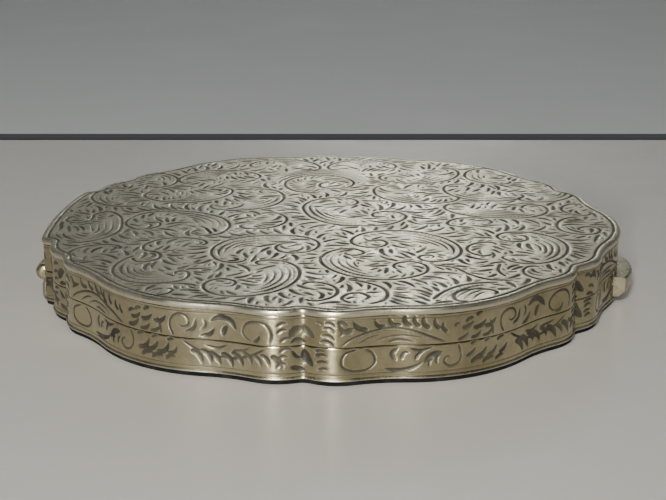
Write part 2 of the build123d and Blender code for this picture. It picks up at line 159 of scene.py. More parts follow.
def engraved_silver(name, clean, warm, rough_low=0.2, rough_high=0.4):
    """Old silver: the cut lines are oxidised, the flats are worn bright and tarnished warm in patches."""
    tree = Tree(name)
    patches = tree.span(tree.noise(55, 4, 0.6), 0.35, 0.7)
    metal = tree.mix(patches, clean, warm)
    blotches = tree.span(tree.noise(330, 5, 0.7), 0.48, 0.75, 0.0, 0.42)
    metal = tree.mix(blotches, metal, tuple(0.45 * c for c in warm))
    specks = tree.span(tree.noise(1100, 3, 0.7), 0.6, 0.8, 0.0, 0.4)
    metal = tree.mix(specks, metal, (0.20, 0.18, 0.14))
    cut = tree.span(tree.attribute("cut"), 0.06, 0.6)
    uneven = tree.span(tree.noise(260, 3, 0.6), 0.3, 0.7, 0.78, 1.0)
    oxide = tree.math("MULTIPLY", cut, uneven, clamp=True)
    colour = tree.mix(oxide, metal, (0.022, 0.021, 0.018))
    rough = tree.span(tree.noise(190, 4, 0.65), 0.3, 0.75, rough_low, rough_high)
    rough = tree.math("ADD", rough, tree.math("MULTIPLY", oxide, 0.3), clamp=True)
    return tree.principled(Base_Color=colour, Metallic=tree.span(oxide, 0, 1, 1.0, 0.55), Roughness=rough,
                           Normal=scratched(tree, 0.3))


def plain_metal(name, colour, dull, rough, scale=80):
    """A plain metal with tarnish in patches."""
    tree = Tree(name)
    patches = tree.span(tree.noise(scale, 4, 0.6), 0.35, 0.75)
    return tree.principled(Base_Color=tree.mix(patches, colour, dull), Metallic=1.0,
                           Roughness=tree.span(tree.noise(scale * 3, 3, 0.6), 0.3, 0.7, *rough),
                           Normal=scratched(tree, 0.25))


def painted_gap_shade():
    """Near-black painted shade for the gap under the bottom plate's rim, with faint dust."""
    tree = Tree("painted_gap_shade")
    dust = tree.span(tree.noise(500, 4, 0.7), 0.5, 0.8)
    return tree.principled(Base_Color=tree.mix(dust, (0.006, 0.006, 0.006), (0.03, 0.028, 0.024)),
                           Roughness=0.85, Specular_IOR_Level=0.15, Normal=tree.bump(dust, 0.02 * MM, 0.4))


SILVER_TOP = engraved_silver("silver_top", (0.69, 0.655, 0.52), (0.57, 0.52, 0.375))
# Painted shade: the walls' silver is a darker, warmer copy of the lid's silver, for how the upright walls
# are lit and the warm table they reflect.
SHADED_SILVER_BAND = engraved_silver("shaded_silver_band", (0.54, 0.49, 0.33), (0.31, 0.27, 0.15), 0.14, 0.3)
# Painted shade: a near-black stand-in for the shadow in the gap under the bottom plate's rim.
PAINTED_GAP_SHADE = painted_gap_shade()
SILVER_BOTTOM = engraved_silver("silver_bottom", (0.62, 0.60, 0.52), (0.50, 0.46, 0.34))
SILVER_PLAIN = plain_metal("silver_plain", (0.50, 0.46, 0.33), (0.31, 0.27, 0.17), (0.18, 0.36), 160)
GILT = plain_metal("gilt", (0.88, 0.70, 0.40), (0.83, 0.63, 0.33), (0.24, 0.34))
STEEL = plain_metal("spring_steel", (0.50, 0.50, 0.51), (0.36, 0.35, 0.34), (0.28, 0.45), 200)


def paint(material, *names):
    """Gives CAD nodes a material."""
    for name in names:
        for slot in nodes[name].material_slots:
            slot.link = "OBJECT"
            slot.material = material


# ---------------------------------------------------------------- outline of the case, in millimetres
STEP = 0.17  # spacing of the engraved plate's rings
POINTS = 1536  # round the outline, a multiple of a high power of two
SOFTENING = 20  # passes that round the notches as wear has
CURVE_PARTS = 8  # between two points of a curve
FLAT = 0.01  # how far a corner may lie from the plane that it is on
NEAR = 0.03  # corners closer than this are one


def outline_points():
    """The case's outline from the top plate's lower edge: a smooth loop with even spacing, anticlockwise."""
    co = np.array([v.co for v in nodes["lid_top_plate"].data.vertices]) / MM
    edge = co[co[:, 2] < co[:, 2].min() + FLAT][:, :2]
    edge = np.unique(np.round(edge, 4), axis=0)
    edge = edge[np.argsort(np.arctan2(edge[:, 1], edge[:, 0]))]
    gap = np.linalg.norm(np.roll(edge, -1, 0) - edge, axis=1)
    loop = even_loop(smooth_line(edge[gap > NEAR], closed=True), POINTS)
    for _ in range(SOFTENING):
        loop = (np.roll(loop, 1, 0) + 2 * loop + np.roll(loop, -1, 0)) / 4
    return even_loop(loop, POINTS)


def smooth_line(points, closed=False):
    """A centripetal Catmull-Rom curve through the points."""
    p = np.asarray(points, float)
    if closed:
        p = np.concatenate([p[-1:], p, p[:2]])
    else:
        p = np.concatenate([[2 * p[0] - p[1]], p, [2 * p[-1] - p[-2]]])
    a, b, c, d = p[:-3], p[1:-2], p[2:-1], p[3:]
    root = [np.maximum(np.linalg.norm(q - r, axis=1), 1e-6) ** 0.5 for q, r in ((b, a), (c, b), (d, c))]
    m1 = root[1][:, None] * ((b - a) / root[0][:, None] - (c - a) / (root[0] + root[1])[:, None]) + (c - b)
    m2 = root[1][:, None] * ((d - c) / root[2][:, None] - (d - b) / (root[1] + root[2])[:, None]) + (c - b)
    t = np.linspace(0, 1, CURVE_PARTS, endpoint=False)[:, None, None]
    line = ((2 * t**3 - 3 * t**2 + 1) * b + (t**3 - 2 * t**2 + t) * m1
            + (3 * t**2 - 2 * t**3) * c + (t**3 - t**2) * m2)
    line = line.transpose(1, 0, 2).reshape(-1, 2)
    return line if closed else np.concatenate([line, p[-2:-1]])


def lengths_along(line):
    return np.concatenate([[0], np.cumsum(np.linalg.norm(np.diff(line, axis=0), axis=1))])


def points_at(line, lengths, at):
    """The points of a line that lie at these distances along it."""
    return np.stack([np.interp(at, lengths, line[:, k]) for k in (0, 1)], axis=1)


def even_loop(line, count):
    loop = np.concatenate([line, line[:1]])
    s = lengths_along(loop)
    return points_at(loop, s, np.linspace(0, s[-1], count, endpoint=False))


def even_line(line, step):
    s = lengths_along(line)
    return points_at(line, s, np.linspace(0, s[-1], max(3, int(s[-1] / step) + 1)))


def normals_of(loop):
    """Outward normals of an anticlockwise loop."""
    along = np.roll(loop, -1, 0) - np.roll(loop, 1, 0)
    along /= np.linalg.norm(along, axis=1)[:, None]
    return np.stack([along[:, 1], -along[:, 0]], axis=1)


OUTLINE = outline_points()
OUTWARD = normals_of(OUTLINE)


def inset_loop(inset):
    return OUTLINE - OUTWARD * inset


# ---------------------------------------------------------------- engraving
PITCH = 0.06  # of the grid that holds the engraving


class Relief:
    """How deep the graver has cut, on a fine grid over a rectangle. wrap joins its left and right ends."""

    def __init__(self, low, high, wrap=False):
        self.low, self.wrap = np.array(low, float), wrap
        size = (np.array(high) - self.low) / PITCH
        self.cells = np.zeros((int(round(size[1])), int(round(size[0]))), np.float32)
        self.taken = np.zeros_like(self.cells, bool)

    def window(self, x, y, reach):
        """Rows and columns of the cells round a point, and how far each cell is from it."""
        i, j = (y - self.low[1]) / PITCH, (x - self.low[0]) / PITCH
        k = reach / PITCH
        rows = np.arange(max(0, math.ceil(i - k)), min(self.cells.shape[0], math.floor(i + k) + 1))
        columns = np.arange(math.ceil(j - k), math.floor(j + k) + 1)
        if not self.wrap:
            columns = columns[(columns >= 0) & (columns < self.cells.shape[1])]
        far = (((rows - i)[:, None] ** 2 + (columns - j)[None] ** 2) ** 0.5) * PITCH
        return rows, columns % self.cells.shape[1], far

    def stamp(self, x, y, half, depth, clear):
        """One round dent. clear is how far round it no new stroke may pass."""
        rows, columns, far = self.window(x, y, half + clear)
        spot = np.ix_(rows, columns)
        groove = depth * np.clip(1 - (far / half) ** 2, 0, 1)
        self.cells[spot] = np.maximum(self.cells[spot], groove)
        self.taken[spot] |= far < half + clear

    def cut(self, line, width, depth, taper, clear):
        """A stroke that swells from its ends: taper gives the share of the length that each end takes."""
        line = even_line(np.asarray(line, float), PITCH * 1.6)
        t = np.linspace(0, 1, len(line))
        swell = np.ones(len(line))
        for share, from_end in zip(taper, (t, 1 - t)):
            if share > 0:
                swell = np.minimum(swell, np.sin(np.clip(from_end / share, 0, 1) * math.pi / 2))
        for (x, y), full in zip(line, swell):
            self.stamp(x, y, width / 2 * (0.3 + 0.7 * full), depth * (0.35 + 0.65 * full), clear)

    def free(self, x, y):
        """Whether a point of a flat piece is clear of the strokes."""
        i, j = (int(round((at - low) / PITCH)) for at, low in ((y, self.low[1]), (x, self.low[0])))
        inside = 0 <= i < self.cells.shape[0] and 0 <= j < self.cells.shape[1]
        return inside and not self.taken[i, j]

    def sample(self, x, y):
        """Depth at many points, softened a little, so that the meshes can follow it."""
        soft = self.cells
        for axis in (0, 1):
            soft = (np.roll(soft, 1, axis) + 2 * soft + np.roll(soft, -1, axis)) / 4
        i = np.clip((y - self.low[1]) / PITCH, 0, soft.shape[0] - 1.001)
        j = (x - self.low[0]) / PITCH
        columns = soft.shape[1]
        j = j % columns if self.wrap else np.clip(j, 0, columns - 1.001)
        i0, j0 = i.astype(int), j.astype(int)
        fi, fj = i - i0, j - j0
        i1, j1 = np.minimum(i0 + 1, soft.shape[0] - 1), (j0 + 1) % columns
        return ((1 - fi) * ((1 - fj) * soft[i0, j0] + fj * soft[i0, j1])
                + fi * ((1 - fj) * soft[i1, j0] + fj * soft[i1, j1]))


BORDER_INSET = 1.0  # of the line that runs round the lid
LEAF_INSET = 1.45  # leaves stay inside this
LINE_DEPTH, LEAF_DEPTH = 0.2, 0.17
SINK = 0.62  # how far the metal is sunk for each millimetre of cut; the rest of the cut is seen as oxide
LID_OXIDE, WALL_OXIDE = 0.15, 0.125  # depth of cut from which the oxide is full
LEAF_STEP = 0.15  # between the points of a leaf
LEAF_GAP = 1.75  # between the leaves that spring from a scroll
LEAST_LEAF = 1.9  # a shorter one is left out
FIELD_PITCH = 0.5  # of the grid that holds which way the filling leaves grow
SEED_GAP = 0.55  # between the points that they may start from
# Passes of filling leaves: longest, shortest, widths, clear space round each.
FILLING = [
    (6.0, 2.4, (0.62, 0.85), 0.42), (3.6, 1.5, (0.46, 0.66), 0.38), (2.0, 0.9, (0.28, 0.4), 0.3),
]
GRAIN = np.random.default_rng(7)


def bent(start, angle, length, curl):
    """A line from a point, at a heading in degrees, that turns by curl degrees over its length."""
    count = max(3, int(length / LEAF_STEP))
    heading = np.radians(angle + curl * np.linspace(0, 1, count))
    moves = np.stack([np.cos(heading), np.sin(heading)], axis=1) * length / count
    return start + np.concatenate([[[0, 0]], np.cumsum(moves, axis=0)])


def offset_part(line, start, end, near, far):
    """The part of a line between two shares of its length, moved left by near at first and far at last."""
    s = lengths_along(line)
    count = max(6, int((end - start) * s[-1] / 0.2))
    part = points_at(line, s, np.linspace(start, end, count) * s[-1])
    along = np.gradient(part, axis=0)
    along /= np.maximum(np.linalg.norm(along, axis=1), 1e-9)[:, None]
    left = np.stack([-along[:, 1], along[:, 0]], axis=1)
    share = np.linspace(0, 1, count)
    return part + left * (near + (far - near) * share)[:, None]


# The lid's drawn scrolls: the points that the line's turns need, its hollow side (1 is left), and the shares
# of its length between which dots and crescents fill the hollow.
SCROLLS = [
    ([(-4.4, -12.7), (-5.9, -13.3), (-6.4, -15.0), (-5.4, -16.8), (-3.6, -17.3), (-1.4, -16.2),
      (-0.5, -13.6), (-1.2, -11.0), (-3.6, -9.2), (-7.0, -8.9), (-10.5, -9.8), (-13.4, -11.8),
      (-14.9, -15.0), (-14.8, -18.8), (-13.2, -21.6), (-10.9, -22.3), (-9.8, -20.8),
      (-10.6, -19.6)], 1, (0.44, 0.86)),
    ([(-6.2, -22.8), (-7.6, -23.0), (-8.2, -21.9), (-6.9, -20.9), (-4.5, -21.3), (-2.5, -23.7),
      (-1.8, -27.4), (-2.6, -31.4), (-4.9, -34.7), (-8.3, -36.3), (-11.5, -35.8), (-13.5, -33.4),
      (-13.4, -30.7), (-11.7, -29.4), (-9.9, -30.3), (-9.9, -32.0), (-11.2, -32.8)], -1, (0.16, 0.62)),
    ([(-18.0, -28.3), (-18.2, -27.0), (-17.0, -26.6), (-16.3, -28.2), (-16.9, -30.5), (-20.0, -32.0),
      (-23.5, -31.5), (-26.1, -28.8), (-26.9, -25.2), (-26.3, -22.2), (-25.0, -20.0)], -1, (0.25, 0.9)),
    ([(-23.9, -17.9), (-22.2, -18.7), (-21.6, -20.8), (-22.7, -22.7), (-24.4, -22.9),
      (-25.3, -21.2)], -1, None),
    ([(-17.6, -8.0), (-18.8, -7.3), (-19.3, -8.6), (-17.7, -9.8), (-15.5, -8.9), (-14.4, -5.8),
      (-14.9, -2.6), (-17.0, 0.4), (-20.5, 2.4), (-24.5, 2.8), (-28.0, 1.2), (-29.8, -2.0), (-29.6, -5.2),
      (-27.4, -7.4), (-25.0, -6.2), (-24.8, -4.0), (-26.2, -3.0)], 1, (0.2, 0.6)),
    ([(-37.2, -2.2), (-38.6, -1.6), (-38.9, -3.8), (-37.0, -4.8), (-35.4, -3.0), (-35.4, 0.2),
      (-33.6, 1.6), (-31.6, -0.6), (-30.3, -5.0), (-30.0, -8.7), (-31.1, -12.0), (-33.6, -14.4),
      (-36.2, -15.2)], -1, (0.5, 0.95)),
    ([(5.4, -8.8), (6.4, -10.7), (8.0, -10.1), (9.0, -11.6), (8.1, -13.4), (6.0, -13.7), (4.1, -12.0),
      (4.1, -9.2), (5.7, -6.7), (8.5, -5.4), (12.2, -5.3), (15.9, -7.4), (18.5, -10.8), (19.4, -14.3),
      (18.8, -17.3), (17.0, -19.3), (14.9, -19.6), (13.6, -18.2), (14.2, -16.9), (15.6, -17.1),
      (15.3, -18.3)], -1, (0.42, 0.8)),
    ([(4.5, -15.9), (3.4, -16.7), (4.7, -17.8), (6.0, -16.4), (4.9, -14.9), (2.9, -14.8), (1.1, -16.6),
      (0.3, -19.4), (1.0, -22.5), (3.1, -25.5), (6.0, -27.5), (9.5, -28.1), (12.9, -26.8), (14.9, -24.1),
      (14.5, -21.3), (12.5, -20.0), (10.6, -21.1), (10.5, -22.9), (11.6, -23.8)], 1, (0.24, 0.64)),
    ([(27.0, -6.0), (28.6, -6.6), (28.6, -8.3), (27.0, -9.3), (25.1, -8.5), (24.5, -6.7), (25.7, -4.9),
      (29.2, -4.5), (32.1, -6.4), (33.9, -9.5), (34.1, -12.8), (33.1, -16.3), (31.0, -18.8),
      (28.1, -19.6), (25.9, -18.5), (25.0, -17.0), (25.7, -16.0)], -1, (0.36, 0.84)),
    ([(4.6, -28.4), (7.2, -29.5), (9.3, -31.5), (10.1, -34.0), (9.6, -36.6), (8.0, -38.0)], -1, None),
    ([(5.8, -37.9), (4.5, -36.4), (5.0, -34.5), (6.5, -33.8), (7.8, -35.2), (7.4, -36.4)], -1, None),
    ([(15.9, -35.6), (16.8, -33.2), (18.5, -30.6), (21.0, -28.7), (24.3, -28.0)], -1, (0.05, 0.9)),
    ([(15.4, -21.1), (18.6, -22.3), (20.4, -24.8), (22.8, -26.8), (26.2, -27.0)], 1, None),
    ([(24.6, -20.0), (24.3, -23.0), (25.2, -25.4)], 1, None),
    ([(37.4, -3.2), (36.3, -2.2), (37.6, -0.7), (39.4, -1.8), (38.9, -4.0), (36.6, -4.9), (33.9, -3.2),
      (33.4, 0.2), (34.8, 3.4), (37.2, 4.6)], 1, None),
    ([(18.9, 9.4), (17.6, 10.2), (16.8, 8.0), (18.2, 5.4), (21.0, 3.6), (25.0, 3.0), (29.0, 3.4),
      (31.6, 5.4), (32.5, 8.0), (31.6, 10.4), (29.6, 10.8), (28.6, 9.2), (29.6, 8.0)], 1, (0.2, 0.7)),
    ([(8.9, 1.2), (7.9, 2.3), (6.4, 2.2), (6.1, 3.7), (7.4, 5.0), (9.6, 4.9), (11.1, 3.0), (10.6, 0.4),
      (8.6, -2.0), (5.0, -3.0), (1.0, -2.6), (-2.4, 0.2), (-4.2, 4.0), (-4.7, 7.4), (-3.4, 10.8),
      (-0.4, 12.6), (2.6, 11.8), (3.4, 9.6), (2.2, 8.2), (0.8, 8.8)], -1, (0.36, 0.74)),
    ([(-1.6, 22.2), (-3.2, 21.4), (-3.2, 19.2), (-1.2, 18.2), (1.2, 19.2), (2.0, 22.0), (0.4, 25.2),
      (-3.2, 26.8), (-7.0, 25.4), (-9.0, 22.2), (-8.6, 18.4), (-6.4, 15.8), (-3.6, 15.4),
      (-2.8, 16.6)], -1, (0.3, 0.78)),
]


SCROLL_TURNS = 1.15  # of a scroll by formula, in all
CURL = 5.2  # how much more its ends bend than its middle


def spiral_scroll(centre, size, heading, hand):
    """A C-scroll by formula: gently bent in the middle, and tightening to a curl at each end."""
    t = np.linspace(-1, 1, 160)
    ease = np.clip((np.abs(t) - 0.5) / 0.5, 0, 1)
    bend = 1 + CURL * ease**1.6
    heading_at = np.concatenate([[0], np.cumsum((bend[1:] + bend[:-1]) / 2 * np.diff(t))])
    heading_at *= SCROLL_TURNS * 2 * math.pi / heading_at[-1]
    heading_at = math.radians(heading) + hand * (heading_at - heading_at[len(t) // 2])
    moves = np.stack([np.cos(heading_at), np.sin(heading_at)], axis=1)
    line = np.cumsum(moves, axis=0)
    line -= (line.min(0) + line.max(0)) / 2
    line *= size / np.ptp(line, axis=0).max()
    return line + centre


# Scrolls by formula, on the far half and in the near half's gaps: centre, size, heading, hollow side.
FORMULA_SCROLLS = [
    ((-13.6, 10.4), 13.0, 60, 1), ((-23.6, 12.6), 13.5, 200, -1), ((-34.0, 10.2), 11.0, 300, 1),
    ((-20.2, 24.2), 13.0, 20, -1), ((-30.6, 21.4), 9.5, 120, 1), ((12.2, 15.6), 13.5, 330, 1),
    ((22.8, 17.6), 12.5, 150, -1), ((32.6, 17.8), 10.5, 60, 1), ((12.4, 27.8), 13.0, 210, -1),
    ((23.6, 28.4), 10.5, 290, 1), ((-10.4, 33.4), 12.0, 170, 1), ((2.6, 34.2), 11.5, 10, -1),
    ((36.6, 8.6), 6.5, 100, -1), ((20.6, 0.4), 6.5, 200, 1), ((-9.6, -1.4), 9.0, 250, -1),
    ((-20.6, -14.6), 8.5, 210, 1), ((-31.2, -19.4), 8.0, 240, 1), ((22.2, -13.2), 6.5, 80, -1),
    ((21.2, -33.4), 5.5, 40, -1), ((-19.6, -35.4), 4.6, 10, 1), ((1.4, -33.6), 7.5, 100, 1),
    ((30.4, -23.6), 6.0, 310, 1),
]


def lid_scrolls():
    """All the lid's scrolls: (line, hollow side, dressed part)."""
    scrolls = [(smooth_line(points), side, part) for points, side, part in SCROLLS]
    for centre, size, heading, hand in FORMULA_SCROLLS:
        line = spiral_scroll(centre, size, heading, hand)
        scrolls.append((line, hand, (0.3, 0.7) if size > 9 else None))
    return scrolls


def dress(relief, line, side, part):
    """Fills a scroll's hollow: a row of dots along the line, then crescents that close up on it."""
    start, end = part
    length = lengths_along(line)[-1]
    dots = offset_part(line, start + 0.04, end - 0.1, side * 0.72, side * 0.72)
    for x, y in even_line(dots, 0.62):
        relief.stamp(x, y, half=0.17, depth=0.13, clear=0.2)
    for k in range(4):
        near, far = 1.45 + 1.05 * k, 0.95 + 0.85 * k
        first = start + (0.01 + 0.035 * k)
        last = end - 0.02 - 0.05 * k
        if (last - first) * length > 2.5:
            stroke = offset_part(line, first, last, side * near, side * far)
            relief.cut(stroke, width=0.5 - 0.04 * k, depth=0.15, taper=(0.75, 0.25), clear=0.3)


def direction_field(low, shape, scrolls):
    """For each cell of a grid: the nearest scroll's heading, which side of it, and how far from it."""
    lines = [even_line(line, 0.6) for line, _, _ in scrolls]
    points = np.concatenate(lines)
    along = np.concatenate([np.gradient(line, axis=0) for line in lines])
    headings = np.arctan2(along[:, 1], along[:, 0])
    xs = low[0] + FIELD_PITCH * np.arange(shape[1])
    ys = low[1] + FIELD_PITCH * np.arange(shape[0])
    heading, side, far = (np.zeros(shape, np.float32) for _ in range(3))
    for i, y in enumerate(ys):
        dx, dy = xs[:, None] - points[:, 0], y - points[:, 1]
        distance = dx**2 + dy**2
        nearest = distance.argmin(1)
        row = np.arange(len(xs))
        h = headings[nearest]
        heading[i], far[i] = h, distance[row, nearest] ** 0.5
        side[i] = np.sign(np.cos(h) * dy[nearest] - np.sin(h) * dx[row, nearest])
    return heading, side, far


def fill_gaps(relief, scrolls, inside, low, high):
    """Fills what is left with leaf strokes that spring from the scrolls and bend away from them."""
    shape = (int((high[1] - low[1]) / FIELD_PITCH) + 1, int((high[0] - low[0]) / FIELD_PITCH) + 1)
    heading, side, far = direction_field(low, shape, scrolls)
    sway = GRAIN.uniform(-1, 1, (12, 12))

    def field(x, y):
        i = min(max(int(round((y - low[1]) / FIELD_PITCH)), 0), shape[0] - 1)
        j = min(max(int(round((x - low[0]) / FIELD_PITCH)), 0), shape[1] - 1)
        u, v = (x - low[0]) / (high[0] - low[0]) * 10.99, (y - low[1]) / (high[1] - low[1]) * 10.99
        a, b = int(min(max(u, 0), 10)), int(min(max(v, 0), 10))
        fu, fv = u - a, v - b
        wave = (sway[b, a] * (1 - fu) * (1 - fv) + sway[b, a + 1] * fu * (1 - fv)
                + sway[b + 1, a] * (1 - fu) * fv + sway[b + 1, a + 1] * fu * fv)
        lean = math.radians(20 + 15 * min(far[i, j], 5)) + 0.4 * wave
        return heading[i, j] + side[i, j] * lean

    def grow(x, y, sign, most):
        path = []
        last = None
        while len(path) * LEAF_STEP < most:
            a = field(x, y)
            if last is not None and math.cos(a - last) < 0.5:
                break
            last = a
            x, y = x + sign * LEAF_STEP * math.cos(a), y + sign * LEAF_STEP * math.sin(a)
            if not relief.free(x, y) or not inside(x, y):
                break
            path.append((x, y))
        return path

    for most, least, wide, clear in FILLING:
        xs, ys = np.meshgrid(*(np.arange(low[k], high[k], SEED_GAP) for k in (0, 1)))
        seeds = np.stack([xs.ravel(), ys.ravel()], axis=1)
        seeds += GRAIN.uniform(-0.2, 0.2, seeds.shape)
        for x, y in seeds[GRAIN.permutation(len(seeds))]:
            if not relief.free(x, y) or not inside(x, y):
                continue
            ahead = grow(x, y, 1, most * GRAIN.uniform(0.4, 0.6))
            behind = grow(x, y, -1, most * GRAIN.uniform(0.3, 0.5))
            path = behind[::-1] + [(x, y)] + ahead
            if len(path) * LEAF_STEP > least and len(path) > 3:
                width, depth = GRAIN.uniform(*wide), GRAIN.uniform(0.10, LEAF_DEPTH)
                relief.cut(path, width, depth, taper=(0.2, 0.55), clear=clear)


def leaves(relief, line, side, inside):
    """Leaves along the outside of a scroll, each a broad crescent with a thin line inside its bend."""
    along = np.gradient(line, axis=0)
    heading = np.unwrap(np.arctan2(along[:, 1], along[:, 0]))
    s = lengths_along(line)
    for at in np.arange(0.12 * s[-1], 0.96 * s[-1], LEAF_GAP):
        x, y, h = (np.interp(at, s, values) for values in (line[:, 0], line[:, 1], heading))
        out = h - side * math.pi / 2
        start = np.array([x + 0.75 * math.cos(out), y + 0.75 * math.sin(out)])
        lean = GRAIN.uniform(34, 48)
        size = GRAIN.uniform(3.0, 4.6)
        for shift, share, width in ((0, 1.0, 0.8), (0.8, 0.62, 0.4)):
            foot = start + shift * np.array([math.cos(h), math.sin(h)])
            path = bent(foot, math.degrees(h) - side * lean, size * share, -side * 62)
            free = [relief.free(*p) and inside(*p) for p in path]
            stop = free.index(False) if False in free else len(free)
            if stop * LEAF_STEP > LEAST_LEAF:
                relief.cut(path[:stop], width, LEAF_DEPTH, taper=(0.2, 0.7), clear=0.3)


def lid_relief():
    """The lid's engraving."""
    low, high = OUTLINE.min(0) - 1, OUTLINE.max(0) + 1
    relief = Relief(low, high)
    border = inset_loop(BORDER_INSET)
    border = np.concatenate([border, border[:1]])
    relief.cut(border, width=0.42, depth=LINE_DEPTH, taper=(0, 0), clear=0.22)
    scrolls = lid_scrolls()
    for line, _, _ in scrolls:
        relief.cut(line, width=0.5, depth=LINE_DEPTH, taper=(0.06, 0.06), clear=0.3)
    for line, side, part in scrolls:
        if part:
            dress(relief, line, side, part)
    reach = np.hypot(*inset_loop(LEAF_INSET).T)
    angles = np.arctan2(OUTLINE[:, 1], OUTLINE[:, 0])
    order = np.argsort(angles)
    angles, reach = angles[order], reach[order]

    def inside(x, y):
        return math.hypot(x, y) < np.interp(math.atan2(y, x), angles, reach, period=2 * math.pi)

    for line, side, _ in scrolls:
        leaves(relief, line, side, inside)
    fill_gaps(relief, scrolls, inside, low, high)
    return relief


# ---------------------------------------------------------------- meshes from rings
def mesh_object(name, vertices, faces, body, material, replaced, cut=None):
    """Makes a mesh in metres from millimetre points, rides it on a body and lets it stand for CAD nodes.
    cut says how dark each point is: oxide in the engraving, painted shade under the bottom plate's rim."""
    mesh = bpy.data.meshes.new(name)
    mesh.from_pydata((np.asarray(vertices, float) * MM).tolist(), [], faces)
    if cut is not None:
        mesh.attributes.new("cut", "FLOAT", "POINT").data.foreach_set("value", np.asarray(cut, np.float32))
    mesh.materials.append(material)
    mesh.shade_smooth()
    mesh.set_sharp_from_angle(angle=math.radians(50))
    obj = bpy.data.objects.new(name, mesh)
    scene.collection.objects.link(obj)
    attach(obj, body)
    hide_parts(*replaced)
    return obj


def ring_faces(first, second):
    """Quads between two rings of the same count, or triangles where the second has half as many points."""
    n, m = len(first), len(second)
    a, b = np.asarray(first), np.asarray(second)
    if n == m:
        return np.stack([a, np.roll(a, -1), np.roll(b, -1), b], axis=1).tolist()
    even, odd, after = a[0::2], a[1::2], np.roll(a, -2)[0::2]
    following = np.roll(b, -1)
    faces = np.stack([even, odd, b], axis=1).tolist()
    faces += np.stack([odd, following, b], axis=1).tolist()
    faces += np.stack([odd, after, following], axis=1).tolist()
    return faces


class Skin:
    """A closed skin of rings, from the middle of its underside, round its edge, to the middle of its top."""

    def __init__(self, x, y, z):
        self.points, self.cuts, self.faces = [(x, y, z)], [0], []
        self.last = None

    def ring(self, loop, z, cut=0):
        start, count = len(self.points), len(loop)
        self.points += np.column_stack([loop, np.broadcast_to(z, count)]).tolist()
        self.cuts += np.broadcast_to(cut, count).tolist()
        current = np.arange(start, start + count)
        if self.last is None:
            self.faces += [[0, b, a] for a, b in zip(current, np.roll(current, -1))]
        else:
            self.faces += ring_faces(self.last, current)
        self.last = current

    def close(self, x, y, z, cut=0):
        end = len(self.points)
        self.points.append((x, y, z))
        self.cuts.append(cut)
        self.faces += [[a, b, end] for a, b in zip(self.last, np.roll(self.last, -1))]


def engraved_plate(name, relief, profile, floor, body, material, replaced):
    """A plate with a moulded edge, whose face is engraved. profile is (inset, height) pairs from the back,
    round the edge, to the face, which goes on inwards to the centre at its last height."""
    skin = Skin(0, 0, floor)
    for inset, z in profile:
        skin.ring(inset_loop(inset), z)
    inset, top = profile[-1]

    def engraved_ring(loop):
        depth = relief.sample(loop[:, 0], loop[:, 1])
        skin.ring(loop, top - SINK * depth, depth)

    deep = BORDER_INSET + 0.6
    for inset in np.arange(inset + 0.1, deep, 0.1):
        engraved_ring(inset_loop(inset))
    loop = inset_loop(deep)
    rings = int(np.hypot(*loop.T).mean() / STEP)
    for k in range(1, rings):
        share = 1 - k / rings
        if len(loop) > 12 and len(loop) > 2 * POINTS * share:
            loop = loop[0::2]
        engraved_ring(loop * share)
    depth = float(relief.sample(np.array([0.0]), np.array([0.0]))[0])
    skin.close(0, 0, top - SINK * depth, depth)
    cut = np.clip(np.array(skin.cuts) / LID_OXIDE, 0, 1)
    mesh_object(name, skin.points, skin.faces, body, material, replaced, cut)


def bottom_plate(top, body, replaced):
    """The bottom plate: its edge is turned up from the rest face, leaving a gap under the rim, darkened with
    painted shade.
    """
    corner = 0.15
    rim = [(inset, z, 0) for inset, z in arc((corner, top - corner), corner, 0, 90, 4)[:-1]]
    # Each point: inset, height, and painted shade under the rim, carried as the cut attribute; 1 is
    # near-black.
    profile = [(2.6, 0, 0), (1.4, 0, 0.2), (0.4, 0, 1), (0.34, 0.03, 1), (0.3, top - 0.3, 1),
               (0.12, top - 0.28, 0.3), (0.03, top - 0.22, 0), *rim, (0.2, top, 0), (1.1, top, 0)]
    skin = Skin(0, 0, 0)
    for inset, z, cut in profile:
        skin.ring(inset_loop(inset)[::2], z, cut)
    skin.close(0, 0, top)
    obj = mesh_object("turned_bottom", skin.points, skin.faces, body, SILVER_BOTTOM,
                      replaced, skin.cuts)
    # Faces wholly in the painted shade take the near-black painted shade material.
    obj.data.materials.append(PAINTED_GAP_SHADE)
    for face in obj.data.polygons:
        if all(skin.cuts[v] == 1 for v in face.vertices):
            face.material_index = 1


def arc(centre, radius, start, end, count):
    """(inset, height) points on a rounded edge."""
    angles = np.radians(np.linspace(start, end, count))
    return [(centre[0] - radius * math.cos(a), centre[1] + radius * math.sin(a)) for a in angles]


# ---------------------------------------------------------------- engraved walls
BOW = 44.1  # length that the wall's pattern is drawn for, from notch to notch
BAND_STEP = 0.135  # spacing of the walls' points
WIDER, WIDER_LEAF = 1.35, 1.15  # the walls' strokes and leaves are this much wider than the tables give
WALL_OUTER, WALL_INNER = 0.2, 1.1  # insets of the walls' faces
HINGE_X, HINGE_Z = -40.45, 4.4  # the lid's axis
RELIEF_HALF, RELIEF_RADIUS = 12.35, 1.42  # of the room that the walls leave for the hinge
END_X = 36  # beyond this, on either side, lie only the hinge's and the push-piece's ends
OPENING_HALF, OPENING_TOP = 6.1, 4.0  # of the opening for the push-piece
LID_LINE, BASE_LINE = 8.62, 1.45  # heights of the thin line along each wall

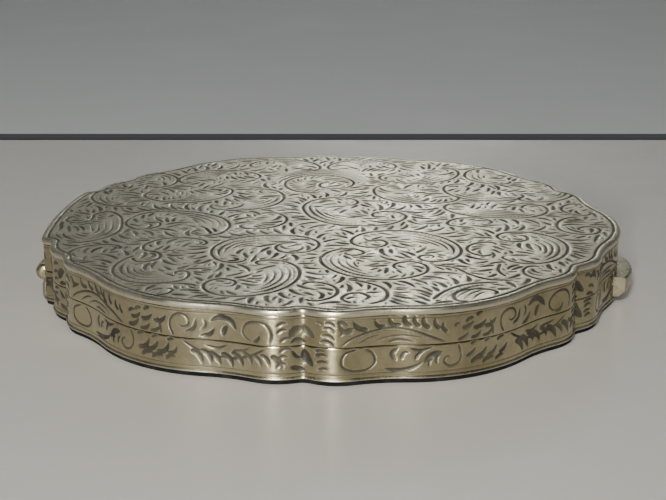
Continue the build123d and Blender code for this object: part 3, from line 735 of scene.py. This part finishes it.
# Strokes of one bow of the wall: width, taper, and points as distance along the wall and height.
LID_BOW = [
    (0.24, (0.1, 0.1), [(4.6, 5.1), (6.0, 6.1), (8.4, 7.0), (11.0, 7.35), (13.8, 7.0), (16.4, 6.1),
                        (18.6, 5.1)]),
    (0.20, (0.5, 0.5), [(8.3, 5.2), (10.4, 6.1), (13.2, 6.3), (16.2, 5.8)]),
    (0.18, (0.5, 0.5), [(6.6, 5.2), (8.2, 6.1), (10.2, 6.7)]),
    (0.30, (0.4, 0.6), [(10.6, 5.5), (12.2, 5.75), (14.4, 5.45)]),
    (0.42, (0.4, 0.5), [(4.9, 6.7), (5.6, 7.3), (6.7, 7.6)]),
    (0.24, (0.08, 0.3), [(26.8, 5.1), (26.3, 6.4), (26.5, 7.6), (27.5, 8.2), (28.6, 7.9), (28.9, 7.0),
                         (28.1, 6.5), (27.4, 6.9), (27.7, 7.4)]),
    (0.42, (0.4, 0.5), [(28.3, 5.9), (29.5, 6.5), (30.0, 7.9)]),
    (0.24, (0.3, 0.5), [(30.9, 7.9), (31.2, 7.0), (30.5, 6.2)]),
    (0.66, (0.35, 0.3), [(31.7, 7.6), (33.0, 8.15), (34.4, 7.7), (35.3, 6.7)]),
    (0.52, (0.4, 0.5), [(30.3, 5.35), (31.6, 5.8), (32.3, 6.7)]),
    (0.60, (0.4, 0.5), [(33.4, 5.7), (33.6, 6.5), (34.1, 7.1)]),
    (0.24, (0.15, 0.3), [(39.6, 5.2), (40.1, 6.6), (39.3, 8.0), (37.8, 8.2), (36.5, 7.6), (36.1, 6.5),
                         (36.8, 5.7), (38.0, 5.6)]),
    (0.40, (0.4, 0.6), [(37.4, 5.3), (38.2, 5.8), (38.5, 6.5)]),
    (0.40, (0.4, 0.5), [(25.0, 5.2), (24.8, 6.3), (24.4, 7.5)]),
    (1.00, (0.4, 0.5), [(-1.7, 6.3), (-1.1, 7.1), (-0.3, 7.5)]),
    (0.80, (0.4, 0.5), [(0.0, 7.7), (0.5, 6.9), (1.4, 6.2)]),
    (0.50, (0.4, 0.5), [(-1.6, 5.4), (-0.8, 5.7), (0.2, 5.5)]),
]
BASE_BOW = [
    (0.24, (0.1, 0.1), [(7.0, 4.75), (5.2, 4.1), (5.0, 2.7), (6.4, 1.9), (8.5, 2.1), (9.3, 3.1),
                        (8.8, 4.2), (7.6, 4.8)]),
    (0.56, (0.35, 0.5), [(10.4, 1.9), (12.4, 1.75), (14.6, 2.5), (15.3, 3.1)]),
    (0.50, (0.4, 0.4), [(11.9, 4.8), (11.3, 3.9), (11.9, 2.9)]),
    (0.34, (0.4, 0.4), [(13.4, 4.6), (15.0, 4.3), (16.4, 4.7)]),
    (0.70, (0.4, 0.4), [(15.3, 2.6), (16.2, 3.6), (17.7, 4.1)]),
    (0.24, (0.1, 0.25), [(19.8, 4.9), (20.2, 3.7), (19.9, 2.5), (18.8, 2.05), (17.9, 2.7), (18.4, 3.4),
                         (19.1, 3.1)]),
    (0.24, (0.1, 0.1), [(27.8, 4.9), (29.4, 3.9), (31.8, 3.1), (34.4, 2.95), (37.0, 3.5), (39.3, 4.7)]),
    (0.30, (0.4, 0.6), [(31.0, 4.3), (32.6, 4.0), (34.2, 4.5)]),
    (0.30, (0.4, 0.6), [(34.4, 3.9), (36.2, 4.2), (37.2, 4.7)]),
    (0.95, (0.4, 0.5), [(0.0, 4.6), (0.3, 3.6), (1.2, 2.4)]),
    (0.60, (0.4, 0.5), [(-1.6, 2.3), (-0.7, 2.1), (0.2, 1.8)]),
    (0.40, (0.4, 0.5), [(-1.6, 4.4), (-0.9, 3.6), (-0.3, 3.3)]),
]
# Rows of slanted leaves: first and last foot, how many, lean along the wall, rise, width, bend.
LID_ROWS = [
    ((6.3, 7.3), (12.4, 7.75), 4, -1.5, 0.95, 0.56, 0.3),
    ((13.6, 7.6), (18.4, 6.7), 5, -0.6, 1.35, 0.5, 0.3),
    ((19.6, 5.6), (23.4, 5.4), 3, 1.5, 0.8, 0.5, -0.25),
    ((20.0, 6.8), (23.6, 6.9), 3, 1.6, 0.7, 0.52, -0.25),
    ((19.3, 7.3), (22.4, 8.2), 3, 0.9, 0.3, 0.4, 0.2), ((2.0, 5.6), (2.6, 7.6), 3, 1.5, -0.5, 0.42, 0.25),
    ((1.4, 8.3), (4.4, 8.2), 3, 1.2, -0.4, 0.36, 0.2),
    ((41.0, 5.7), (40.8, 7.7), 3, 1.3, 0.3, 0.42, 0.25),
]
BASE_ROWS = [
    ((28.9, 3.55), (39.9, 3.7), 9, 1.35, -1.45, 0.62, 0.25),
    ((21.0, 2.9), (25.8, 2.8), 4, 1.5, 1.1, 0.52, -0.25),
    ((21.6, 1.9), (25.4, 1.9), 3, 1.6, 0.4, 0.46, 0.25),
    ((21.4, 4.5), (25.8, 4.3), 3, 1.1, 0.3, 0.4, 0.2),
    ((1.7, 2.2), (1.6, 4.4), 4, 1.5, 0.15, 0.42, 0.2),
    ((40.7, 2.2), (41.0, 4.3), 3, 1.4, 0.3, 0.42, 0.25),
    ((12.6, 3.1), (14.2, 3.3), 2, 0.9, 0.9, 0.42, 0.3), ((16.2, 2.0), (16.9, 2.2), 2, 0.5, 0.9, 0.3, 0.3),
]


def band_relief(strokes, rows, low, high, line_at):
    """The wall's engraving, unrolled: the same bow six times, each cut by hand and so a little different."""
    relief = Relief((0, low), (6 * BOW, high), wrap=True)
    t = np.linspace(0, 1, 9)[:, None]
    for bow in range(6):
        shift = np.array([bow * BOW, 0])
        for width, taper, points in strokes:
            jitter = GRAIN.normal(0, 0.07, (len(points), 2))
            line = smooth_line(np.array(points) + jitter) + shift
            relief.cut(line, WIDER * width, LINE_DEPTH, taper, clear=0.1)
        for first, last, count, lean, rise, width, bend in rows:
            for k in range(count):
                share = k / (count - 1)
                foot = np.array(first) * (1 - share) + np.array(last) * share + shift
                foot = foot + GRAIN.normal(0, 0.12, 2)
                size = GRAIN.uniform(0.9, 1.3)
                reach = np.array([lean, rise]) * size
                bulge = np.array([-reach[1], reach[0]]) * bend * GRAIN.uniform(0.5, 1.1)
                leaf = foot + t * reach + 4 * t * (1 - t) * bulge
                relief.cut(leaf, WIDER_LEAF * width * size, LINE_DEPTH, taper=(0.2, 0.5), clear=0.1)
    u = np.arange(0, 6 * BOW, 0.3)
    thin = np.stack([u, line_at + 0.05 * np.sin(u / 3.1)], axis=1)
    relief.cut(thin, width=0.2, depth=0.12, taper=(0, 0), clear=0.1)
    return relief


def bow_places():
    """Distances round the outline, anticlockwise: from its start to the front notch, from there to each of
    the six notches and back to itself, and the length of the whole."""
    s = lengths_along(OUTLINE)
    total = s[-1] + np.linalg.norm(OUTLINE[-1] - OUTLINE[0])
    radius = np.hypot(*OUTLINE.T)
    angle = np.degrees(np.arctan2(OUTLINE[:, 1], OUTLINE[:, 0]))
    places = []
    for k in range(6):
        # the point nearest to the middle, within 7 degrees of where the notch ought to be
        off = np.abs((angle - (-90 + 60 * k) + 180) % 360 - 180)
        near = np.flatnonzero(off < 7)
        places.append(s[near[radius[near].argmin()]])
    return places[0], np.append((np.array(places) - places[0]) % total, total), total


def wall_limits(x, y, low, high):
    """Heights between which the wall stands: less at the hinge's relief and the push-piece's opening."""
    if x < 0 and abs(y) < RELIEF_HALF:
        reach = math.sqrt(max(RELIEF_RADIUS**2 - (x - HINGE_X) ** 2, 0))
        if low > HINGE_Z:
            low = max(low, HINGE_Z + reach)
        else:
            high = min(high, HINGE_Z - reach)
    if x > 0 and abs(y) < OPENING_HALF and low < OPENING_TOP:
        low = OPENING_TOP
    return low, high


def engraved_wall(name, relief, low, high, edges, body, replaced):
    """A wall that follows the outline. edges are distances round the outline, where its heights step."""
    first, notches, total = bow_places()
    s = np.arange(0, total, BAND_STEP)
    for edge in edges:
        s = s[np.abs(s - edge) > 0.05]
    s = np.sort(np.concatenate([s, *[(edge - 0.01, edge + 0.01) for edge in edges]]))
    lengths, around = np.append(lengths_along(OUTLINE), total), (s + first) % total
    closed = (np.concatenate([loop, loop[:1]]) for loop in (OUTLINE, OUTWARD))
    place, normal = (points_at(loop, lengths, around) for loop in closed)
    u = np.interp(s, notches, BOW * np.arange(7))
    inner, outer = place - normal * WALL_INNER, place - normal * WALL_OUTER
    bottom, top = np.array([wall_limits(x, y, low, high) for x, y in outer]).T
    inner_bottom, inner_top = np.array([wall_limits(x, y, low, high) for x, y in inner]).T
    rows = int((high - low) / BAND_STEP)
    vertices, cuts = [], []
    for k in range(rows + 1):
        z = bottom + (top - bottom) * (k / rows)
        depth = relief.sample(u, z) * np.clip(np.minimum(z - bottom, top - z) / 0.2, 0, 1)
        chamfer = 0.05 if k in (0, rows) else 0
        xy = outer - normal * (depth * SINK + chamfer)[:, None]
        vertices.append(np.column_stack([xy, z]))
        cuts.append(depth)
    vertices += [np.column_stack([inner, inner_top]), np.column_stack([inner, inner_bottom])]
    cuts += [np.zeros(len(s))] * 2
    index = np.arange(len(s) * len(vertices)).reshape(len(vertices), len(s))
    faces = []
    for a, b in zip(index, np.roll(index, -1, 0)):
        faces += ring_faces(a, b)
    cut = np.clip(np.concatenate(cuts) / WALL_OXIDE, 0, 1)
    mesh_object(name, np.concatenate(vertices), faces, body, SHADED_SILVER_BAND, replaced, cut)


def distance_at(x_sign, y):
    """Distance round the outline, from the front notch, of the point at a given y where x has that sign."""
    first, _, total = bow_places()
    s = np.append(lengths_along(OUTLINE), total)
    wall = inset_loop(WALL_OUTER)
    after = np.roll(wall[:, 1], -1)
    here = np.flatnonzero((wall[:, 0] * x_sign > END_X) & ((wall[:, 1] - y) * (after - y) <= 0))[0]
    share = (y - wall[here, 1]) / (after[here] - wall[here, 1])
    return (s[here] + share * (s[here + 1] - s[here]) - first) % total


# ---------------------------------------------------------------- pieces inside
def box_mm(name):
    low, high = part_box(name)
    return np.array(low) / MM, np.array(high) / MM


def no_wobble(x, y, upper):
    return 0


def disc(name, centre, profile, count, material, replaced, wobble=no_wobble):
    """A closed round piece in the base. profile is (radius, height) pairs from the centre underneath, round
    the edge, to the centre on top. wobble(x, y, upper) moves a point up; upper is 1 on the upper side."""
    turn = np.linspace(0, 2 * math.pi, count, endpoint=False)
    unit = np.stack([np.cos(turn), np.sin(turn)], axis=1)
    middle = max(range(len(profile)), key=lambda k: profile[k][0])
    skin = Skin(*centre, profile[0][1])
    for k, (radius, z) in enumerate(profile[1:-1], 1):
        loop = centre + radius * unit
        skin.ring(loop, z + wobble(*loop.T, float(k > middle)))
    skin.close(*centre, profile[-1][1] + wobble(*centre, 1.0))
    return mesh_object(name, skin.points, skin.faces, "base", material, replaced)


def velour_puff():
    """The puff: two rounds of velour, crowned over their filling and gathered into the seam at the edge."""
    low, high = box_mm("puff")
    centre, radius = (low + high)[:2] / 2, (high - low)[0] / 2
    seam = low[2] + 0.45 * (high[2] - low[2])

    def puckers(x, y, upper):
        away = np.hypot(x - centre[0], y - centre[1]) / radius
        angle = np.arctan2(y - centre[1], x - centre[0])
        folds = np.sin(46 * angle) + 0.5 * np.sin(31 * angle + 1)
        gather = 0.10 * np.clip((away - 0.72) / 0.28, 0, 1) * folds
        dents = 0.05 * np.sin(0.21 * x + 1) * np.cos(0.17 * y)
        return (gather - 0.14 + dents) * upper

    profile = [(0, low[2]), (radius * 0.5, low[2]), (radius * 0.86, low[2] + 0.02),
               (radius * 0.96, low[2] + 0.35), (radius * 0.995, seam - 0.12), (radius * 0.985, seam),
               (radius * 0.995, seam + 0.12)]
    for share in np.linspace(0.97, 0, 26):
        height = seam + 0.2 + (high[2] - seam - 0.2) * (1 - share**2.6) ** 0.5
        profile.append((radius * share, height))
    puff = disc("velour_puff", centre, profile, 184, VELOUR, ("puff",), puckers)


def satin_ribbon():
    """The ribbon across the puff: a strip that sinks a little towards its ends, and ripples."""
    low, high = box_mm("puff_ribbon")
    columns, rows = 15, 61
    x = np.linspace(low[0], high[0], columns)
    y = np.linspace(low[1], high[1], rows)
    thick = 0.06
    across, along = np.meshgrid(x, y)
    length_share = np.abs(along) / high[1]
    z = high[2] - thick - 0.02 - 0.10 * length_share**2 + 0.02 * np.sin(along * 0.55) * (across / high[0])
    top = np.column_stack([across.ravel(), along.ravel(), (z + thick).ravel()])
    under = np.column_stack([across.ravel(), along.ravel(), z.ravel()])
    grid = np.arange(rows * columns).reshape(rows, columns)
    quads = np.stack([grid[:-1, :-1], grid[:-1, 1:], grid[1:, 1:], grid[1:, :-1]], axis=-1).reshape(-1, 4)
    count = rows * columns
    faces = quads.tolist() + (quads[:, ::-1] + count).tolist()
    edge = np.concatenate([grid[0], grid[1:, -1], grid[-1, -2::-1], grid[-2:0:-1, 0]])
    faces += np.stack([edge + count, np.roll(edge, -1) + count, np.roll(edge, -1), edge], axis=1).tolist()
    ribbon = mesh_object("satin_ribbon", np.concatenate([top, under]), faces, "base", SATIN,
                         ("puff_ribbon",))


def sifter_sheet():
    """The gauze, stretched over the sifter's ring."""
    low, high = box_mm("sifter_gauze")
    radius = (high - low)[0] / 2
    centre = (low + high)[:2] / 2
    radii = [radius * share for share in (0.25, 0.5, 0.75, 0.99, 1.0)]
    profile = [(0, low[2]), *[(r, low[2]) for r in radii], (radius, high[2] - 0.02),
               *[(r, high[2]) for r in radii[-2::-1]], (0, high[2])]
    sheet = disc("gauze_sheet", centre, profile, 128, GAUZE, ("sifter_gauze",))


def pressed_powder():
    """The cake of powder, worn hollow in the middle and crumbled at its edge."""
    low, high = box_mm("powder_cake")
    radius, centre = (high - low)[0] / 2, (low + high)[:2] / 2

    def wear(x, y, upper):
        away = np.hypot(x - centre[0] - 3, y - centre[1] + 2)
        crumbs = 0.03 * np.sin(1.7 * x) * np.sin(1.3 * y + 1) + 0.02 * np.sin(4.1 * x + y)
        return upper * (crumbs - 0.05 - 0.22 * np.exp(-((away / 15) ** 2)))

    profile = [(0, low[2]), (radius * 0.6, low[2]), (radius, low[2] + 0.02), (radius, high[2] - 0.12)]
    profile += [(radius * share, high[2]) for share in np.linspace(0.985, 0, 30)]
    disc("pressed_powder", centre, profile, 128, POWDER, ("powder_cake",), wear)


def tube(path, wire, sides):
    """Points and faces of a round wire along a path of points."""
    along = np.gradient(path, axis=0)
    along /= np.linalg.norm(along, axis=1)[:, None]
    side = np.cross(along, (0.0, 0.0, 1.0))
    for k in range(1, len(path)):  # carry the frame along, so that it doesn't twist
        side[k] = side[k - 1] - along[k] * side[k - 1].dot(along[k])
        side[k] /= np.linalg.norm(side[k])
    up = np.cross(side, along)
    turn = np.linspace(0, 2 * math.pi, sides, endpoint=False)[:, None]
    rings = path[:, None] + wire / 2 * (np.cos(turn) * side[:, None] + np.sin(turn) * up[:, None])
    index = np.arange(len(path) * sides).reshape(len(path), sides)
    faces = [index[0, ::-1].tolist(), index[-1].tolist()]
    for a, b in zip(index[:-1], index[1:]):
        faces += ring_faces(a, b)
    return rings.reshape(-1, 3), faces


def coil_spring():
    """The door's spring: a close coil of wire round the door's pin, with a leg at each end."""
    low, high = box_mm("door_spring")
    pin_low, pin_high = box_mm("door_pin")
    axis_x, axis_z = (pin_low[0] + pin_high[0]) / 2, (pin_low[2] + pin_high[2]) / 2
    wire = 0.28
    outer = axis_x - low[0]
    radius = outer - wire / 2 - 0.01
    first, last = low[1] + wire / 2 + 0.02, high[1] - wire / 2 - 0.02
    turns = int((last - first) / (wire * 1.08))  # 8 percent wider than a coil with its turns touching
    # the coil starts and ends under the pin, where both legs leave it
    angle = np.linspace(0, 2 * math.pi * turns, turns * 28)
    y = np.linspace(first, last, len(angle))
    coil = np.column_stack([axis_x - radius * np.sin(angle), y, axis_z - radius * np.cos(angle)])
    reach = high[0] - 0.1
    leg = np.linspace(reach, axis_x + 0.1, 12)[:, None] * [1, 0, 0] + [0, first, axis_z - radius]
    end = leg[::-1] * [1, 0, 1] + [0, last, 0]
    points, faces = tube(np.concatenate([leg, coil[1:-1], end]), wire, 10)
    mesh_object("coil_spring", points, faces, "base", STEEL, ("door_spring",))


def fabric(name, colour, shade, weave, threads, height, nap, sheen, rough):
    """Cloth with threads along the given axes, so many to the metre."""
    tree = Tree(name)
    waves = [tree.waves(threads / 20, bands_direction=axis) for axis in weave]
    woven = tree.math("MAXIMUM", *waves) if len(waves) == 2 else waves[0]
    tone = tree.mix(tree.span(tree.noise(120, 4, 0.6), 0.3, 0.7), colour, shade)
    # Painted shade: the tone darkens in the furrows between the threads.
    tone = tree.mix(tree.span(woven, 0, 1, 0.28, 0), tone, tuple(c * 0.6 for c in shade))
    fluff = tree.bump(tree.noise(3000, 3, 0.7), 0.05 * MM, nap)
    return tree.principled(Base_Color=tone, Roughness=rough, Sheen_Weight=sheen, Sheen_Roughness=0.5,
                           Normal=tree.bump(woven, height, 0.6, fluff))


def velour_material():
    """Cut pile: no weave shows, only the nap and where it has been pressed."""
    tree = Tree("velour")
    pressed = tree.span(tree.noise(110, 4, 0.6), 0.35, 0.7)
    tone = tree.mix(pressed, (0.82, 0.63, 0.53), (0.72, 0.52, 0.43))
    pile = tree.bump(tree.noise(4200, 2, 0.7), 0.06 * MM, 0.8, tree.bump(tree.noise(420, 3), 0.08 * MM, 0.5))
    return tree.principled(Base_Color=tone, Roughness=0.95, Sheen_Weight=0.8, Sheen_Roughness=0.5,
                           Normal=pile)


def powder_material():
    tree = Tree("face_powder")
    tone = tree.mix(tree.span(tree.noise(400, 5, 0.7), 0.3, 0.7), (0.72, 0.46, 0.33), (0.62, 0.38, 0.26))
    grain = tree.bump(tree.noise(2600, 4, 0.8), 0.04 * MM, 0.7)
    return tree.principled(Base_Color=tone, Roughness=0.95, Sheen_Weight=0.3, Normal=grain)


def mirror_material():
    tree = Tree("mirror")
    dust = tree.span(tree.noise(160, 5, 0.7), 0.5, 0.8)
    return tree.principled(Base_Color=tree.mix(dust, (0.88, 0.90, 0.90), (0.80, 0.81, 0.80)), Metallic=1.0,
                           Roughness=tree.span(dust, 0, 1, 0.015, 0.09), Coat_Weight=0.6,
                           Coat_Roughness=0.02)


def card_material():
    tree = Tree("card")
    fibres = tree.noise(900, 4, 0.7, (1, 0.3, 1))
    return tree.principled(Base_Color=tree.mix(fibres, (0.20, 0.07, 0.06), (0.12, 0.04, 0.035)),
                           Roughness=0.9, Normal=tree.bump(fibres, 0.03 * MM, 0.6))


def turned_gilt():
    """Gilding over a plate finished on a rose engine, in fine rings."""
    tree = Tree("turned_gilt")
    rings = tree.waves(62.0, wave_type="RINGS", rings_direction="Z")
    patches = tree.span(tree.noise(60, 4, 0.6), 0.35, 0.75)
    turned = tree.bump(rings, 0.05 * MM, 0.7, scratched(tree, 0.2))
    return tree.principled(Base_Color=tree.mix(patches, (0.88, 0.70, 0.40), (0.83, 0.63, 0.33)),
                           Metallic=1.0, Roughness=tree.span(tree.noise(240, 3), 0.3, 0.7, 0.2, 0.34),
                           Normal=turned)


VELOUR = velour_material()
SATIN = fabric("satin", (0.72, 0.38, 0.34), (0.60, 0.28, 0.26), "X", 6000, 0.01 * MM, 0.1, 0.2, 0.32)
GAUZE = fabric("gauze", (0.82, 0.76, 0.64), (0.72, 0.64, 0.52), "XY", 2200, 0.05 * MM, 0.5, 0.3, 0.8)
POWDER, MIRROR, CARD, TURNED = powder_material(), mirror_material(), card_material(), turned_gilt()

PLATE_CORNER, FOOT_CORNER = 0.45, 0.25  # radii of the top plate's upper and lower edge
low, high = (p.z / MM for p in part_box("lid_top_plate"))
edge = [(0.3, low), *arc((FOOT_CORNER, low + FOOT_CORNER), FOOT_CORNER, -80, 0, 4),
        *arc((PLATE_CORNER, high - PLATE_CORNER), PLATE_CORNER, 0, 90, 9), (0.6, high), (0.75, high)]
engraved_plate("engraved_lid_plate", lid_relief(), edge, low, "lid", SILVER_TOP, ("lid_top_plate",))

hinge_edges = [distance_at(-1, y) for y in (-RELIEF_HALF, RELIEF_HALF)]
opening_edges = [distance_at(1, y) for y in (-OPENING_HALF, OPENING_HALF)]
low, high = (p.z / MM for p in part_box("lid_side_band"))
engraved_wall("engraved_lid_wall", band_relief(LID_BOW, LID_ROWS, low, high, LID_LINE), low, high,
              hinge_edges, "lid", ("lid_side_band",))
low, high = (p.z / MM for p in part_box("base_side_band"))
engraved_wall("engraved_base_wall", band_relief(BASE_BOW, BASE_ROWS, low, high, BASE_LINE), low, high,
              hinge_edges + opening_edges, "base", ("base_side_band",))
bottom_plate(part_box("base_bottom_plate")[1].z / MM, "base", ("base_bottom_plate",))
velour_puff()
satin_ribbon()
sifter_sheet()
pressed_powder()
coil_spring()

paint(SILVER_PLAIN, "base_knuckles", "lid_knuckles", "hinge_strap", "hinge_pin", "push_piece", "lid_striker")
paint(GILT, "base_lip_ring", "base_deck", "powder_pan", "door_tab", "door_knuckles", "deck_knuckles",
      "sifter_ring", "mirror_bezel", "mirror_tabs")
paint(TURNED, "powder_door")
paint(STEEL, "door_pin", "catch_hook", "catch_bracket", "catch_spring")
paint(MIRROR, "mirror_glass")
paint(CARD, "mirror_backing")


# ---------------------------------------------------------------- table, backdrop and lights
def staged(name, profile, half_width, material):
    """A sheet along X from a profile of (y, z) points in metres."""
    vertices = [(x, y, z) for y, z in profile for x in (-half_width, half_width)]
    faces = [(2 * k, 2 * k + 1, 2 * k + 3, 2 * k + 2) for k in range(len(profile) - 1)]
    mesh = bpy.data.meshes.new(name)
    mesh.from_pydata(vertices, [], faces)
    mesh.materials.append(material)
    mesh.shade_smooth()
    obj = bpy.data.objects.new(name, mesh)
    scene.collection.objects.link(obj)
    obj.rotation_euler.z = camera.rotation_euler.z


def surface(name, colour, shade, rough, scale=30):
    tree = Tree(name)
    tone = tree.mix(tree.span(tree.noise(scale, 4, 0.6), 0.3, 0.7), colour, shade)
    return tree.principled(Base_Color=tone, Roughness=tree.span(tree.noise(scale * 4, 4), 0.3, 0.7, *rough))


TABLE_BACK, GAP = 0.097, 0.006  # where the table ends, and the dark gap behind it
SWEEP, BACKDROP_Y, BACKDROP_TOP = 0.15, 0.65, 1.2  # the backdrop's bend, its upright part and its height
HALF_WIDTH = 1.2
bend = [(BACKDROP_Y - SWEEP + SWEEP * math.sin(a), SWEEP - SWEEP * math.cos(a))
        for a in np.radians(np.linspace(0, 90, 13))]
backdrop = [(TABLE_BACK + GAP, 0), *bend, (BACKDROP_Y, BACKDROP_TOP)]
staged("table", [(-1.2, 0), (TABLE_BACK, 0)], HALF_WIDTH,
       surface("table", (0.505, 0.485, 0.455), (0.49, 0.47, 0.44), (0.34, 0.42)))
# Painted shade: a near-black sheet in the gap behind the table stands for the shadow there.
staged("gap", [(TABLE_BACK - 0.0005, -0.0012), (TABLE_BACK + GAP + 0.0005, -0.0012)], HALF_WIDTH,
       surface("gap", (0.02, 0.02, 0.02), (0.015, 0.015, 0.015), (0.7, 0.9)))
staged("backdrop", backdrop, HALF_WIDTH,
       surface("backdrop", (0.48, 0.50, 0.505), (0.46, 0.48, 0.485), (0.7, 0.9), 8))

world = bpy.data.worlds.new("world")
scene.world = world
world.use_nodes = True
sky = world.node_tree.nodes["Background"]
sky.inputs[0].default_value = (0.62, 0.65, 0.70, 1)
sky.inputs[1].default_value = 0.09


def area_light(name, size, power, location, aim, colour=(1, 1, 1), spread=180):
    light = bpy.data.objects.new(name, bpy.data.lights.new(name, "AREA"))
    light.data.size, light.data.energy, light.data.color = size, power, colour
    light.data.spread = math.radians(spread)
    light.location = location
    light.rotation_euler = (Vector(aim) - Vector(location)).to_track_quat("-Z", "Y").to_euler()
    light.visible_camera = False
    scene.collection.objects.link(light)


area_light("key", 0.12, 2.2, (-0.03, -0.38, 0.32), (0, -0.03, 0), (1.0, 0.98, 0.93))
area_light("low", 0.035, 2.2, (-0.05, -0.52, 0.12), (0, -0.04, 0.004), (1.0, 0.99, 0.95))
area_light("top", 1.0, 0.2, (0.1, -0.2, 0.9), (0, 0, 0), (1.0, 0.99, 0.97))
area_light("left", 0.7, 0.3, (-0.75, 0.05, 0.36), (0, 0, 0.05), (1.0, 0.99, 0.96))
area_light("right", 0.7, 0.3, (0.75, 0.05, 0.36), (0, 0, 0.05), (1.0, 0.99, 0.96))
area_light("pool", 0.06, 0.53, (-0.015, 0.56, 0.24), (-0.015, 0.65, 0.24), (1.0, 0.975, 0.92), 130)
